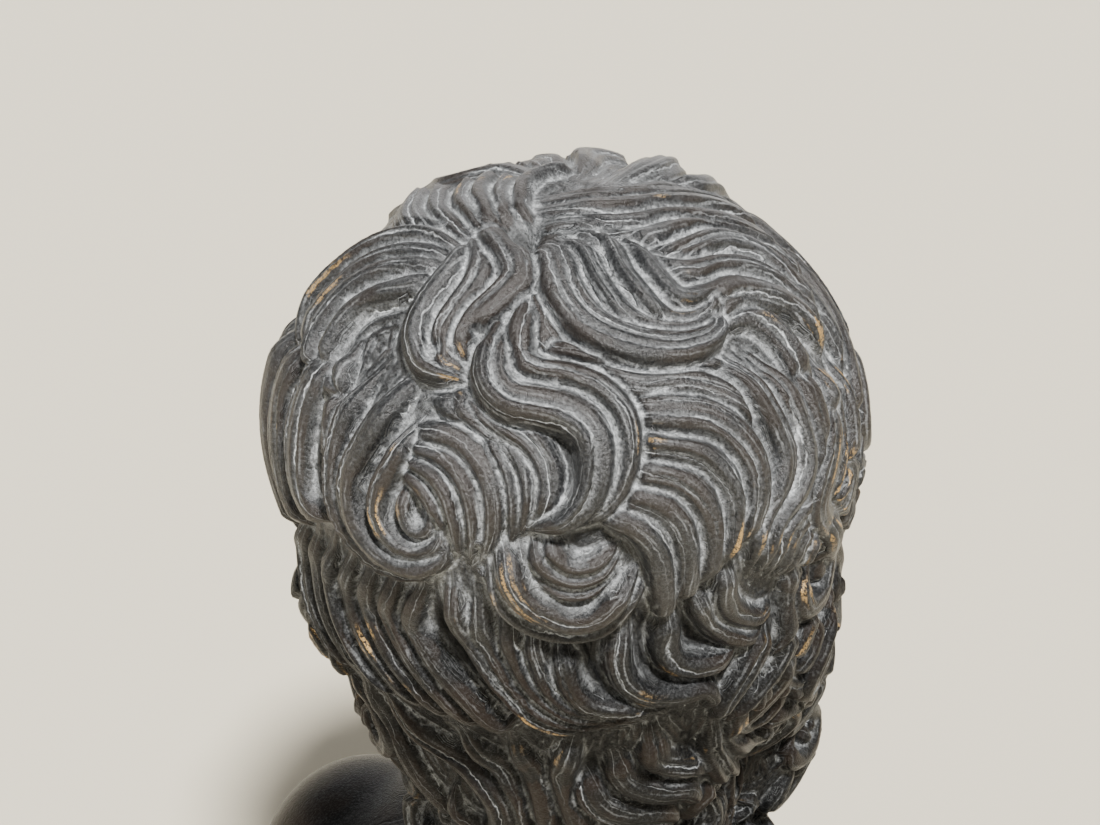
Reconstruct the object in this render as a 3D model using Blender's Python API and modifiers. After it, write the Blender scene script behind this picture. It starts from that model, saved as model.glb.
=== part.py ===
"""Cast bronze bust of a bearded man in the classical manner: life-size, one piece, cut flat below.

The figure faces -Y and stands on its underside at z = 0, with +X at its own left hand.
The forms are laid out on a figure FIGURE_UNITS high, so one unit is a millimetre at life size.
Places on the hair are given as a turn and a rise from the middle of the head. The turn goes from
the face (0 degrees) by the figure's left (90) to the back (180). The rise goes in degrees from
level (0) to the crown (90), and below level it counts steps of LEVEL_STEP down the neck and beard.
"""
import math
import random

import bmesh
import bpy
import numpy as np
from mathutils import Euler, Matrix, Vector
from mathutils.bvhtree import BVHTree

# Driving sizes, in metres
BUST_HEIGHT = 0.431
SHOULDER_WIDTH = 0.296
HAIR_WIDTH = 0.208
LOCK_RELIEF = 0.0065
CAST_GRAIN = 0.0024

# How the figure is drawn
FIGURE_UNITS = 431.0
UNIT = BUST_HEIGHT / FIGURE_UNITS
FACE_COUNT = 9400
HEAD_MIDDLE = Vector((0.0, 10.0, 310.0))
LEVEL_STEP = 2.0
SHOULDER_SPREAD = SHOULDER_WIDTH / UNIT / 296.0
HAIR_SPREAD = HAIR_WIDTH / UNIT / 208.0
RELIEF = LOCK_RELIEF / UNIT
EYE_LEVEL = 291.0
EYE_APART = 31.0
EYE_RADIUS = 12.6
EYE_SEAT = -65.0
BRONZE = (0.045, 0.040, 0.036, 1.0)

# How the hair is carved, in figure units
LEVEL_HEIGHT = 1.6
STRAND_WIDTH = 14.0
SHEAF_SHARE = 0.7
GROOVE_DEPTH = 3.0
FILL_REACH = 15.0
DIG = 7.5
MOAT_WIDTH = 3.6
MOAT_DEPTH = 4.0
BASE_GRAIN = 3.0
RUN_STEP = 3.5
ROOT_REACH = 6.0
JUT = 0.8
HAIR_FOOT = (112.0, 126.0)
BROW_SINK = 0.5
LID_SINK = 0.6
LIP_SINK = 1.0
MOUSTACHE_RISE = 0.4
LID_REACH = 15.5


def ball(centre, radii, turn=(0.0, 0.0, 0.0)):
    """An ellipsoid of clay, in figure units."""
    bm = bmesh.new()
    bmesh.ops.create_uvsphere(bm, u_segments=36, v_segments=24, radius=1.0)
    spin = Euler([math.radians(a) for a in turn]).to_matrix().to_4x4()
    place = Matrix.Translation(Vector(centre)) @ spin @ Matrix.Diagonal((*radii, 1.0))
    bm.transform(Matrix.Scale(UNIT, 4) @ place)
    mesh = bpy.data.meshes.new("ball")
    bm.to_mesh(mesh)
    bm.free()
    return mesh


def rolls(strands, sides=1):
    """Rolls of clay: each strand is its points and its radius at each point, in figure units."""
    curve = bpy.data.curves.new("rolls", "CURVE")
    curve.dimensions = "3D"
    curve.bevel_depth = UNIT
    curve.bevel_resolution = sides
    curve.use_fill_caps = True
    for points, radii in strands:
        spline = curve.splines.new("POLY")
        spline.points.add(len(points) - 1)
        rows = np.ones((len(points), 4))
        rows[:, :3] = np.asarray(points) * UNIT
        spline.points.foreach_set("co", rows.ravel())
        spline.points.foreach_set("radius", np.asarray(radii, float))
    return settled(bpy.data.objects.new("rolls", curve))


def settled(holder):
    """The mesh that an object's modifiers or curve give; the object itself is not kept."""
    bpy.context.scene.collection.objects.link(holder)
    bpy.context.view_layer.update()
    view = bpy.context.evaluated_depsgraph_get()
    mesh = bpy.data.meshes.new_from_object(holder.evaluated_get(view))
    bpy.data.objects.remove(holder)
    return mesh


def fuse(meshes, grain, passes):
    """One skin round all the clay, drawn on a grid of the given grain and eased in passes."""
    bm = bmesh.new()
    for mesh in meshes:
        bm.from_mesh(mesh)
    whole = bpy.data.meshes.new("clay")
    bm.to_mesh(whole)
    bm.free()
    holder = bpy.data.objects.new("clay", whole)
    melt = holder.modifiers.new("melt", "REMESH")
    melt.mode = "VOXEL"
    melt.voxel_size = grain
    if passes:
        ease = holder.modifiers.new("ease", "SMOOTH")
        ease.factor = 0.5
        ease.iterations = passes
    return settled(holder)


def corners(mesh):
    """The mesh's corners in figure units, as rows."""
    flat = np.empty(len(mesh.vertices) * 3)
    mesh.vertices.foreach_get("co", flat)
    return flat.reshape(-1, 3) / UNIT


def links(mesh):
    """The two ends of every edge, as rows."""
    flat = np.empty(len(mesh.edges) * 2, int)
    mesh.edges.foreach_get("vertices", flat)
    return flat.reshape(-1, 2)


def eased(spots, ends, passes):
    """The corners after sliding each towards the middle of its neighbours."""
    count = np.bincount(ends.ravel(), minlength=len(spots))[:, None]
    for _ in range(passes):
        total = np.zeros_like(spots)
        for k in range(3):
            total[:, k] = (np.bincount(ends[:, 0], spots[ends[:, 1], k], len(spots))
                           + np.bincount(ends[:, 1], spots[ends[:, 0], k], len(spots)))
        spots = 0.4 * spots + 0.6 * total / count
    return spots


def eased_step(value, low, high):
    """0 up to low, 1 from high, and smooth between."""
    share = np.clip((value - low) / (high - low), 0.0, 1.0)
    return share * share * (3.0 - 2.0 * share)


def calmed(height, ends):
    """The heights with single corners that jut out of their neighbours brought back among them."""
    count = np.bincount(ends.ravel(), minlength=len(height))
    total = (np.bincount(ends[:, 0], height[ends[:, 1]], len(height))
             + np.bincount(ends[:, 1], height[ends[:, 0]], len(height)))
    middle = total / count
    share = eased_step(np.abs(height - middle), JUT, 2.5 * JUT)
    return height + (middle - height) * share


class Skin:
    """The surface that hair is laid on."""

    def __init__(self, mesh):
        faces = [tuple(face.vertices) for face in mesh.polygons]
        self.tree = BVHTree.FromPolygons(corners(mesh).tolist(), faces)

    def spot(self, around, rise):
        """The outermost point of the surface at a turn and a rise."""
        turn = math.radians(around)
        lift = math.radians(max(rise, 0.0))
        start = HEAD_MIDDLE + Vector((0.0, 0.0, LEVEL_STEP * min(rise, 0.0)))
        ray = Vector((math.sin(turn) * math.cos(lift), -math.cos(turn) * math.cos(lift), math.sin(lift)))
        return self.tree.ray_cast(start + ray * 300.0, -ray)[0]

    def front(self, x, z):
        """How far forward the surface lies at a place on the face."""
        return self.tree.ray_cast(Vector((x, -300.0, z)), Vector((0.0, 1.0, 0.0)))[0].y

    def settle(self, point):
        """The nearest point of the surface and the way out of it there."""
        place, out, _, _ = self.tree.find_nearest(Vector(point))
        return place, out


def masses():
    """The big forms under the hair."""
    side = HAIR_SPREAD
    forms = [
        # Skull and the hair over it
        ball((0, 8, 334), (76, 96, 80)),
        ball((0, 22, 338), (104 * side, 99, 86)),
        ball((0, 28, 290), (98 * side, 84, 80)),
        ball((0, -18, 368), (62, 52, 50)),
        # Face and jaw
        ball((0, -24, 284), (61, 66, 84)),
        ball((0, -34, 226), (50, 54, 46)),
        # Beard
        ball((0, -40, 212), (84, 60, 47)),
        ball((0, -48, 172), (79, 58, 56)),
        # Neck, throat and nape
        ball((0, 12, 170), (63, 60, 100)),
        ball((0, -6, 112), (90, 62, 42)),
        ball((0, 30, 236), (77 * side, 60, 66)),
        # Trunk
        ball((0, 4, 60), (98, 72, 82)),
        ball((0, -22, 30), (104, 58, 76)),
    ]
    for hand in (-1, 1):
        wide = hand * SHOULDER_SPREAD
        # Hair over the ear
        forms.append(ball((hand * 60 * side, 0, 266), (36, 44, 56)))
        # Slope of the neck, shoulder, and the breast between them
        forms.append(ball((wide * 62, 12, 104), (72, 46, 32), (0, hand * 17, 0)))
        forms.append(ball((wide * 100, 3, 77), (47, 50, 52)))
        forms.append(ball((wide * 72, -6, 62), (66, 57, 62)))
        forms.append(ball((wide * 46, -34, 46), (64, 50, 68)))
    return forms


def hump(x, z, middle, reach):
    """A smooth round swelling, 1 at its middle."""
    return np.exp(-((x - middle[0]) / reach[0]) ** 2 - ((z - middle[1]) / reach[1]) ** 2)


def press_face(mesh):
    """Push the front of the head into brow, sockets, nose, cheeks and muzzle."""
    spots = corners(mesh)
    x, y, z = spots.T
    wide = np.abs(x)
    front = np.clip((-y - 30.0) / 25.0, 0.0, 1.0)
    push = 4.5 * hump(wide, z, (25, 308), (22, 7))
    push += 3.0 * hump(x, z, (0, 304), (12, 9))
    push -= 12.0 * hump(wide, z, (EYE_APART, EYE_LEVEL - 1), (18, 12))
    push += 5.0 * hump(wide, z, (47, 267), (15, 13))
    push -= 3.0 * hump(wide, z, (38, 243), (12, 14))
    push += 7.0 * hump(x, z, (0, 226), (27, 21))
    down = np.clip((298.0 - z) / 46.0, 0.0, 1.0)
    under = 1.0 / (1.0 + np.exp(-(z - 247.0) / 1.6))
    bridge = 7.0 + 7.5 * down ** 2
    push += (2.0 + 24.0 * down ** 1.15) * under * np.exp(-(wide / bridge) ** 2.2) * (z < 305.0)
    push += 1.5 * hump(x, z, (0, 296), (8, 8))
    spots[:, 1] -= push * front
    mesh.vertices.foreach_set("co", (spots * UNIT).ravel())
    mesh.update()


def lid(face, hand, rise, lift, radius):
    """One roll of an eyelid, bowed over the eyeball and let into the socket at its corners."""
    span = np.linspace(-1.0, 1.0, 13)
    reach = EYE_RADIUS + lift
    across = hand * EYE_APART + LID_REACH * span
    bow = rise * (1.0 - span ** 2) + 0.8 * hand * span
    ball_front = EYE_SEAT - np.sqrt(np.maximum(reach ** 2 - (LID_REACH * span) ** 2 - bow ** 2, 0.0))
    up = EYE_LEVEL + bow
    deep = [min(place, face.front(x, z) + LID_SINK) for place, x, z in zip(ball_front, across, up)]
    return np.column_stack([across, deep, up]), radius * (0.55 + 0.45 * (1.0 - span ** 2))


def features(face):
    """Eyeballs, lids, wings of the nose, lips and ears."""
    forms = []
    strands = []
    for hand in (-1, 1):
        forms.append(ball((hand * EYE_APART, EYE_SEAT, EYE_LEVEL), (EYE_RADIUS,) * 3))
        for step in range(3):
            strands.append(lid(face, hand, 5.2 + 1.7 * step, 1.2 - 0.4 * step, 1.7))
            strands.append(lid(face, hand, -3.9 - 1.4 * step, 0.7 - 0.3 * step, 1.4))
        forms.append(ball((hand * 12.0, -99, 250.5), (6.4, 9.0, 6.2)))
        forms.append(ball((hand * 8.0, face.front(8.0, 225.0) + LIP_SINK, 225.0), (11.5, 5.0, 3.3),
                          (0, hand * 12, hand * 14)))
        forms.append(ball((hand * 6.5, face.front(6.5, 217.0) + LIP_SINK, 217.0), (11.5, 5.6, 4.0),
                          (0, hand * -8, hand * 12)))
        strands.extend(ear(hand))
        forms.append(ball((hand * 83, -1, 249), (5.5, 9.5, 10.0)))
        forms.append(ball((hand * 79, 3, 272), (6.0, 15.0, 24.0), (0, 0, hand * -14)))
    forms.append(ball((0, -103, 249), (4.5, 10.0, 5.0)))
    forms.append(rolls(strands, 2))
    return forms


def ear(hand):
    """The rim and inner fold of an ear, as rolls."""
    turn = np.radians(np.linspace(-150.0, 95.0, 22))
    rim = np.column_stack([
        hand * (84.0 + 5.0 * np.cos(turn - 0.6)),
        6.0 + 16.0 * np.cos(turn),
        276.0 + 27.0 * np.sin(-turn),
    ])
    fold = np.column_stack([
        hand * (85.5 + 2.0 * np.cos(turn)),
        5.0 + 9.5 * np.cos(turn),
        274.0 + 18.0 * np.sin(-turn),
    ])
    return [(rim, np.full(len(turn), 3.4)), (fold, np.full(len(turn), 2.8))]


# Sheaves of locks on the back of the head, from the crown down. Each is how far it stands over its
# neighbours, the width of a lock, how many locks there are, and the turns and rises that the first
# and the last of them pass through. The locks between them are spread evenly.
SHEAVES = (
    # Over the crown to the left, and the fan under it
    (0.5, 15, 6, ((168, 73), (155, 74), (142, 76), (122, 78), (95, 80), (60, 81), (30, 80)),
     ((158, 61), (148, 60.5), (138, 60), (126, 59.5), (112, 59.8), (98, 60), (84, 59))),
    (-0.8, 14, 5, ((132, 72), (122, 70), (110, 66), (99, 60), (91, 53), (86, 45)),
     ((95, 82), (82, 78), (72, 72), (66, 65), (64, 57), (66, 48))),
    (1.0, 11, 4, ((163, 61), (150, 60.5), (140, 59), (133, 56), (128, 51.5), (126, 46), (125, 41), (126, 36),
                  (129, 31)),
     ((162, 56), (158, 53), (153, 50.5), (148, 47.5), (145, 43.5), (145, 39), (146, 35), (150, 32.3), (157, 32))),
    # Over the crown and down the right
    (1.0, 15, 4, ((165, 80), (185, 81), (215, 80.5), (245, 79.5), (270, 77.5), (290, 74), (305, 69), (314, 61),
                  (318, 52)),
     ((200, 71), (208, 70.5), (224, 67.8), (237, 67.7), (252, 68), (266, 65.5), (280, 60), (285, 54), (284, 45))),
    (1.5, 15, 3, ((213, 70), (219, 66.5), (226, 63.5), (236, 62.2), (250, 63), (263, 62.5), (273, 58), (275, 53),
                  (274, 49), (277, 41)),
     ((212, 70), (218, 68), (223, 64), (226.5, 58), (231, 54), (241, 53.5), (250, 53.7), (260, 50.5), (266, 46),
      (270, 37))),
    (1.0, 13, 1, ((235, 50.5), (243, 51), (250, 50), (254, 46.5), (256, 42), (257, 34), (260, 30), (267, 29.5)), ()),
    (1.5, 16, 2, ((316, 62), (308, 54), (300, 46), (292, 38), (285, 30), (282, 22)),
     ((298, 54), (293, 47), (288, 40), (282, 34), (276, 29), (273, 23))),
    # Hooks to the right of the whorl and to the left of it
    (2.0, 16, 3, ((206, 71), (209.5, 68.7), (213, 65), (215, 61), (218, 57.5), (221.5, 53.4), (226, 50.4),
                  (233, 50), (239, 51.5), (243.5, 55)),
     ((183, 66), (187, 65.6), (193, 64.5), (197, 60.5), (201, 56), (207, 51.4), (216, 48.2), (227, 46.8),
      (236.5, 48), (242.5, 52))),
    (2.0, 13, 3, ((160, 63), (163, 62), (165, 61), (165.7, 57), (165.3, 52.5), (165.5, 48.5), (167.5, 44.5),
                  (173, 41.2), (181.5, 40.9)),
     ((161, 67), (168, 66), (175.5, 64.3), (182.3, 61.6), (185.3, 58.5), (183, 54.5), (179.5, 50.5), (178.5, 46),
      (181, 43.5))),
    (0.5, 14, 1, ((181, 66), (184, 63.5), (188, 60.5), (191.5, 57), (194, 53), (196.2, 49.5), (201, 47.2),
                  (209, 46)), ()),
    (0.5, 13, 2, ((197, 47.5), (202, 46.5), (209, 45.7), (217, 45), (224, 45.3), (231, 45), (237, 43)),
     ((207, 44.5), (212, 42.6), (218, 41.6), (224, 41.6), (231, 40), (237, 36.5), (240, 32))),
    # The great S and the locks that lie in its lap
    (3.0, 12, 1, ((188.5, 57.5), (190.5, 54), (190.5, 48.5), (192, 45), (196, 43.4), (202, 43), (208.4, 41.2),
                  (212.4, 37.6), (213, 32.5), (210.8, 27), (206, 22.7), (199, 20.3)), ()),
    (3.5, 16, 1, ((186, 51.5), (186, 46.5), (187.3, 42), (191.3, 39.3), (197, 38.8), (202.4, 38), (206.3, 35.8),
                  (207.8, 32), (206.8, 26.5), (202.8, 22.3), (196.5, 20)), ()),
    (1.0, 11, 3, ((177, 37), (180.5, 36.6), (184.5, 35.8), (188.8, 33.9), (191.8, 31), (193.6, 27.7), (194.4, 24.3),
                  (194.3, 20.4), (193.5, 17)),
     ((183, 39.5), (187, 37.6), (191, 35.8), (195.6, 33.9), (198.8, 31), (200, 28), (199.8, 25), (198.5, 22.3),
      (196, 20.3))),
    # Cascade to the right of the S, and the sheaf beyond it
    (2.0, 14, 5, ((208, 23.5), (211, 23.3), (214, 22.2), (216.3, 20.3), (218, 17.7), (219, 14.5), (219.6, 11),
                  (219.6, 7), (219, 3)),
     ((211, 38.5), (217, 37.8), (223, 37.1), (229, 35.7), (233.5, 32.5), (236.3, 28), (236.5, 23), (235, 19),
      (233, 14))),
    (1.0, 12, 6, ((281, 33), (279, 26), (275, 18), (270, 12.5), (265, 10.5), (259, 10.4), (254, 11), (250.5, 9),
                  (250, 4.5), (250, -1)),
     ((238, 43), (241, 39), (243, 34), (244.4, 29), (244, 25.5), (242, 22.5), (239.5, 20.3), (237.5, 17.5),
      (236.5, 13), (236.5, 8))),
    # Arches to the left of the middle
    (1.0, 8.5, 4, ((173, 25.5), (175.5, 25.3), (177.5, 24.3), (179.3, 22.8), (180.5, 21.2), (181.4, 19.5),
                   (182.2, 17.5), (183, 14)),
     ((173, 31.5), (179.5, 32.3), (184, 31.6), (187.5, 29.5), (190, 26), (190.8, 21.5), (190.3, 17.5),
      (188.5, 12))),
    # The spiral, from its outer ring in
    (1.5, 8, 1, ((161, 38), (159.5, 33), (158.5, 28), (158.5, 22.5), (159.5, 17), (162, 12.5), (166, 9.3),
                 (171, 7.3), (176.5, 7.2), (181, 9)), ()),
    (2.5, 12, 1, ((170, 39), (167.8, 33), (165.4, 27.5), (163.6, 22.5), (164, 17.8), (166, 14), (169.5, 11.3),
                  (174, 10), (179, 10.6), (182.5, 13.2), (182.6, 16.6)), ()),
    (2.0, 9, 1, ((174, 32), (172, 26.5), (170.3, 22.3), (170, 18.8), (171.2, 15.9), (173.8, 13.8), (177, 13.2),
                 (180, 14.2), (181.6, 16.4), (180.6, 19)), ()),
    (1.0, 7, 1, ((174.5, 22), (174.8, 19), (176.6, 16.6), (179, 16.8), (179.8, 18.6), (178.4, 20.4)), ()),
    # The bowl under the great S, from its rim in
    (1.5, 8, 1, ((190.3, 15), (191.2, 10.7), (193, 6), (197, 2.4), (203.5, 0.5), (209.5, 2), (213, 6), (215.8, 9.5),
                 (217, 12.5)), ()),
    (2.5, 13, 1, ((192.5, 16), (194, 12.4), (196, 9), (199.4, 6.4), (203.5, 4.6), (207.5, 5.2), (210.5, 7.7),
                  (213, 11), (215, 14)), ()),
    (1.5, 7, 3, ((195.5, 16), (196.7, 13), (199.3, 11), (203.3, 9.6), (207, 10), (209.8, 11.5), (212.2, 14)),
     ((200.5, 18.5), (201, 17.3), (202.6, 15.7), (205, 14.8), (208, 15.5), (210, 16.8), (211.5, 17.8))),
    # Left edge of the back
    (1.0, 15, 4, ((112, 30), (112, 20), (116, 9), (121, -1), (128, -7)),
     ((147, 36), (146, 27), (147, 19), (150, 12.5), (157, 10.5))),
    (0.5, 9, 1, ((152, 38), (154, 31), (156, 25), (157.4, 20.4), (159, 16)), ()),
    # Long strands down to the nape
    (1.5, 10, 7, ((144, 4), (142, -4), (144, -12), (149, -18), (155, -21), (159, -19)),
     ((177, 5), (174, -3), (178, -10), (185, -17), (191, -23), (194, -20))),
    (1.5, 9.5, 5, ((183, 8), (184, 0), (188, -8), (193, -14), (198, -19), (204, -22), (210, -22)),
     ((202, -3), (203, -7), (204.5, -11.5), (208, -14.8), (213, -16), (219.5, -16), (223.5, -20))),
    (2.0, 11, 1, ((213, 1), (212.5, -5), (214, -10), (218.5, -13.3), (224, -14), (229, -14), (231.5, -17),
                  (230.5, -21)), ()),
    (1.5, 12, 1, ((221, 3), (221, -3), (222.5, -7), (226.5, -9), (231, -9.3), (236.5, -8.5)), ()),
    (1.0, 11, 2, ((226, 6), (228.5, 1.5), (231.5, -2.7), (235, -5.5), (239, -7), (244, -7)),
     ((231, 10), (231.5, 5), (234, 0.5), (237.5, -2.6), (241, -4), (246, -3))),
    (1.0, 12, 2, ((249, 4), (250, -4), (250, -11), (247, -17)), ((262, 5), (262, -4), (260, -11), (256, -17))),
    (1.0, 11, 2, ((243, -8), (240, -13), (236, -19), (234, -25)), ((252, -12), (249, -18), (243, -24), (239, -29))),
    (1.0, 14, 2, ((297, 30), (292, 18), (285, 8), (277, 0), (270, -6)),
     ((286, 22), (281, 12), (274, 4), (267, -2), (262, -5))),
    # Nape
    (1.0, 14, 1, ((150, -30), (151, -38), (156, -46), (161, -54), (163, -62)), ()),
    (1.5, 14, 1, ((160, -28), (168, -34), (178, -40), (185, -47), (185, -55), (178, -59), (170, -55), (171, -49)),
     ()),
    (1.0, 12, 3, ((180, -30), (188, -38), (191, -46), (191, -55), (193, -63)),
     ((205, -27), (203, -36), (205, -44), (208, -52), (214, -58))),
    (1.5, 13, 3, ((208, -38), (212, -45), (221, -49), (231, -51), (238, -56)),
     ((222, -27), (225, -34), (232, -38), (239, -40), (245, -46))),
    (1.5, 12, 4, ((237, -28), (241, -38), (248, -46), (258, -51), (270, -52), (281, -49)),
     ((252, -17), (254, -22), (258, -27), (265, -31), (272, -32), (278, -28))),
)


def spread(start, stop, count):
    """Even steps from start to stop."""
    return [start + (stop - start) * i / (count - 1) for i in range(count)]


def sheaf_locks():
    """The main locks of every sheaf, spread between its first and its last."""
    locks = []
    for level, width, full, first, last in SHEAVES:
        count = max(2, round(full * SHEAF_SHARE)) if last else 1
        for share in spread(0.0, 1.0, count) if last else [0.0]:
            ends = zip(first, last or first)
            locks.append((level, width * full / count, tuple(
                (a[0] + (b[0] - a[0]) * share, a[1] + (b[1] - a[1]) * share) for a, b in ends)))
    return locks


def curl(around, rise, hand, reach, width, level):
    """A lock that drops from a place and winds up on itself to one hand."""
    stations = [(around, rise)]
    for turn, out in ((0.35, 0.5), (0.6, 0.85), (0.35, 1.15), (-0.1, 1.12), (-0.22, 0.8), (0.08, 0.66)):
        stations.append((around + hand * reach * turn, rise - reach * out))
    return level, width, tuple(stations)


def front_locks(chance):
    """Locks that sweep forward from the crown and curl over the forehead."""
    locks = []
    for around in spread(-84.0, 78.0, 9):
        hand = 1 if around > 0 else -1
        turn = around + chance.uniform(-3.0, 3.0)
        low = 40.0 - abs(around) * 0.12
        locks.append((chance.uniform(0.0, 1.0), 20.0, (
            (turn * 0.8 + hand * 30, 82.0), (turn * 0.8 + hand * 18, 73.0), (turn + hand * 9, 64.0),
            (turn - hand * 4, 54.0),
            (turn - hand * 2, low + 5.0), (turn + hand * 6, low))))
    for place, around in enumerate(spread(-72.0, 72.0, 12)):
        hand = 1 if place % 2 else -1
        high = 49.0 - abs(around) * 0.2
        locks.append(curl(around + chance.uniform(-2.0, 2.0), high, hand, 17.0, 12.0, 1.5))
    return locks


def side_locks(chance):
    """Curls that hang before and over the ears."""
    locks = []
    for side in (-1, 1):
        for row, rise in enumerate((31.0, 12.0, -5.0)):
            for place, around in enumerate((64.0, 80.0, 96.0)):
                hand = 1 if (place + row) % 2 else -1
                turn = side * (around + 6.0 * (row % 2)) + chance.uniform(-2.0, 2.0)
                locks.append(curl(turn, rise, hand, 18.0, 13.0, 1.0 + 0.5 * (row % 2)))
    return locks


def low_locks(chance):
    """Hair behind the figure's left ear and on the left of the nape."""
    locks = []
    for row, rise in enumerate((-14.0, -31.0, -47.0)):
        for place, around in enumerate((112.0, 127.0, 141.0)):
            hand = 1 if (place + row) % 2 else -1
            locks.append(curl(around + chance.uniform(-2.0, 2.0), rise, hand, 15.0, 12.0, 1.0))
    for place, around in enumerate(spread(142.0, 226.0, 7)):
        hand = 1 if place % 2 else -1
        locks.append(curl(around + chance.uniform(-2.0, 2.0), -60.0, hand, 13.0, 11.0, 0.5))
    return locks


def beard_locks(chance):
    """Rows of curls from the cheeks to the foot of the beard, turned away from the middle."""
    locks = []
    rows = (
        (-19.0, 58.0, 104.0, 3),
        (-29.0, 42.0, 106.0, 5),
        (-41.0, 24.0, 108.0, 6),
        (-53.0, 8.0, 108.0, 7),
        (-64.0, 9.0, 84.0, 6),
        (-76.0, 10.0, 56.0, 4),
    )
    for row, (rise, inner, outer, count) in enumerate(rows):
        for side in (-1, 1):
            for place, around in enumerate(spread(inner, outer, count)):
                turn = side * (around + chance.uniform(-2.0, 2.0))
                hand = side if place % 3 else -side
                locks.append(curl(turn, rise, hand, 15.0, 12.0, 1.5 - 0.2 * row))
    return locks


def smooth_run(points, step):
    """A smooth curve through the points, in even steps."""
    padded = [points[0] * 2 - points[1], *points, points[-1] * 2 - points[-2]]
    run = []
    for a, b, c, d in zip(padded, padded[1:], padded[2:], padded[3:]):
        count = max(2, int((c - b).length / step))
        for i in range(count):
            t = i / count
            run.append(0.5 * (b * 2 + (c - a) * t + (a * 2 - b * 5 + c * 4 - d) * t * t
                              + (b * 3 - a - c * 3 + d) * t ** 3))
    run.append(points[-1])
    return run


class Lock:
    """One lock on the skin: its middle line, its half width and the edges of its strands."""

    def __init__(self, skin, row, chance):
        self.level, width, stations = row
        points = [skin.spot(*station) for station in stations]
        points.insert(0, points[0] + (points[0] - points[1]).normalized() * ROOT_REACH)
        run = smooth_run(points, RUN_STEP)
        seats = [skin.settle(point) for point in run]
        self.places = np.array([place for place, _ in seats])
        outs = np.array([out for _, out in seats])
        self.ahead = np.gradient(self.places, axis=0)
        sides = np.cross(outs, self.ahead)
        self.sides = sides / (np.linalg.norm(sides, axis=1)[:, None] + 1e-9)
        t = np.linspace(0.0, 1.0, len(run))
        self.half = 0.5 * width * np.minimum(0.4 + 2.6 * t, 1.0) * np.maximum(1.0 - t ** 5, 0.03) ** 0.7
        count = max(1, round(width / STRAND_WIDTH))
        shares = np.array([chance.uniform(0.55, 1.6) for _ in range(count)])
        self.edges = np.concatenate([[-1.0], -1.0 + 2.0 * np.cumsum(shares) / shares.sum()])
        self.edges[-1] = 1.0
        self.lifts = np.array([chance.uniform(-0.6, 0.8) for _ in range(count)])

    def near(self, spots):
        """Which spots the lock, or the plain hair beside it, can reach."""
        reach = self.half.max() + FILL_REACH
        low = self.places.min(axis=0) - reach
        high = self.places.max(axis=0) + reach
        return np.flatnonzero(np.all((spots > low) & (spots < high), axis=1))

    def lay(self, spots):
        """How far along the lock spots lie, how far across it, and how far past its ends."""
        gaps = (self.places ** 2).sum(axis=1) - 2.0 * spots @ self.places.T
        i = gaps.argmin(axis=1)
        ahead = self.ahead[i]
        shift = ((spots - self.places[i]) * ahead).sum(axis=1) / (ahead ** 2).sum(axis=1)
        last = len(self.places) - 1
        f = np.clip(i + shift, 0.0, last)
        j = np.minimum(f.astype(int), last - 1)
        part = (f - j)[:, None]
        place = self.places[j] + (self.places[j + 1] - self.places[j]) * part
        side = self.sides[j] + (self.sides[j + 1] - self.sides[j]) * part
        offset = spots - place
        across = (offset * side).sum(axis=1)
        span = np.sqrt(np.maximum((offset ** 2).sum(axis=1) - across ** 2, 0.0))
        beyond = np.where((f <= 0.0) | (f >= last), span, 0.0)
        half = np.interp(f, np.arange(last + 1), self.half)
        return f / last, across, half, beyond

    def body(self, along, across, half, beyond):
        """Height of the lock itself, a crowned bundle of rounded strands."""
        u = np.clip(across / half, -1.0, 1.0)
        k = np.clip(np.searchsorted(self.edges, u) - 1, 0, len(self.lifts) - 1)
        low, high = self.edges[k], self.edges[k + 1]
        v = (2.0 * u - low - high) / (high - low)
        groove = np.minimum(0.4 * (high - low) * half, GROOVE_DEPTH)
        ridge = -groove * np.abs(v) ** 2.6
        grown = 0.1 + 0.9 * eased_step(along, 0.0, 0.22)
        crown = RELIEF * (1.0 - 0.8 * np.abs(u) ** 2.2)
        lift = (self.level * LEVEL_HEIGHT + self.lifts[k]) * (1.0 - u ** 4)
        narrow = np.minimum(half / 4.0, 1.0)
        height = (crown + lift) * grown * narrow + ridge - 0.8 * beyond
        return np.where(np.abs(across) < half, height, -np.inf)

    def dig(self, along, across, half):
        """How deep the lock presses what lies under it, and the ground along its two edges."""
        wide = np.abs(across)
        depth = DIG * eased_step(1.0 - wide / half, 0.0, 0.45)
        depth += MOAT_DEPTH * (1.0 - eased_step((wide - half) / MOAT_WIDTH, 0.0, 1.0))
        return depth * eased_step(along, 0.04, 0.25) * eased_step(1.0 - along, 0.0, 0.12)

    def beside(self, across, half, beyond):
        """Height of the plain hair beside the lock, and how far off it is."""
        gap = np.maximum(np.abs(across) - half, 0.0)
        return -0.16 * gap - 0.35 * beyond, gap + beyond


def bare(spots):
    """1 where no plain hair grows: the face, the neck's foot and the shoulders."""
    x, y, z = spots.T
    turn = np.degrees(np.abs(np.arctan2(x, 10.0 - y)))
    face = eased_step(60.0 - turn, 0.0, 6.0) * eased_step(z, 238.0, 246.0) * eased_step(366.0 - z, 0.0, 8.0)
    mouth = eased_step(31.0 - np.abs(x), 0.0, 6.0) * eased_step(z, 207.0, 212.0) * (z < 246.0) * (y < 0.0)
    foot = eased_step(150.0 - z, 0.0, 22.0)
    return np.maximum(np.maximum(face, mouth), foot)


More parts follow.
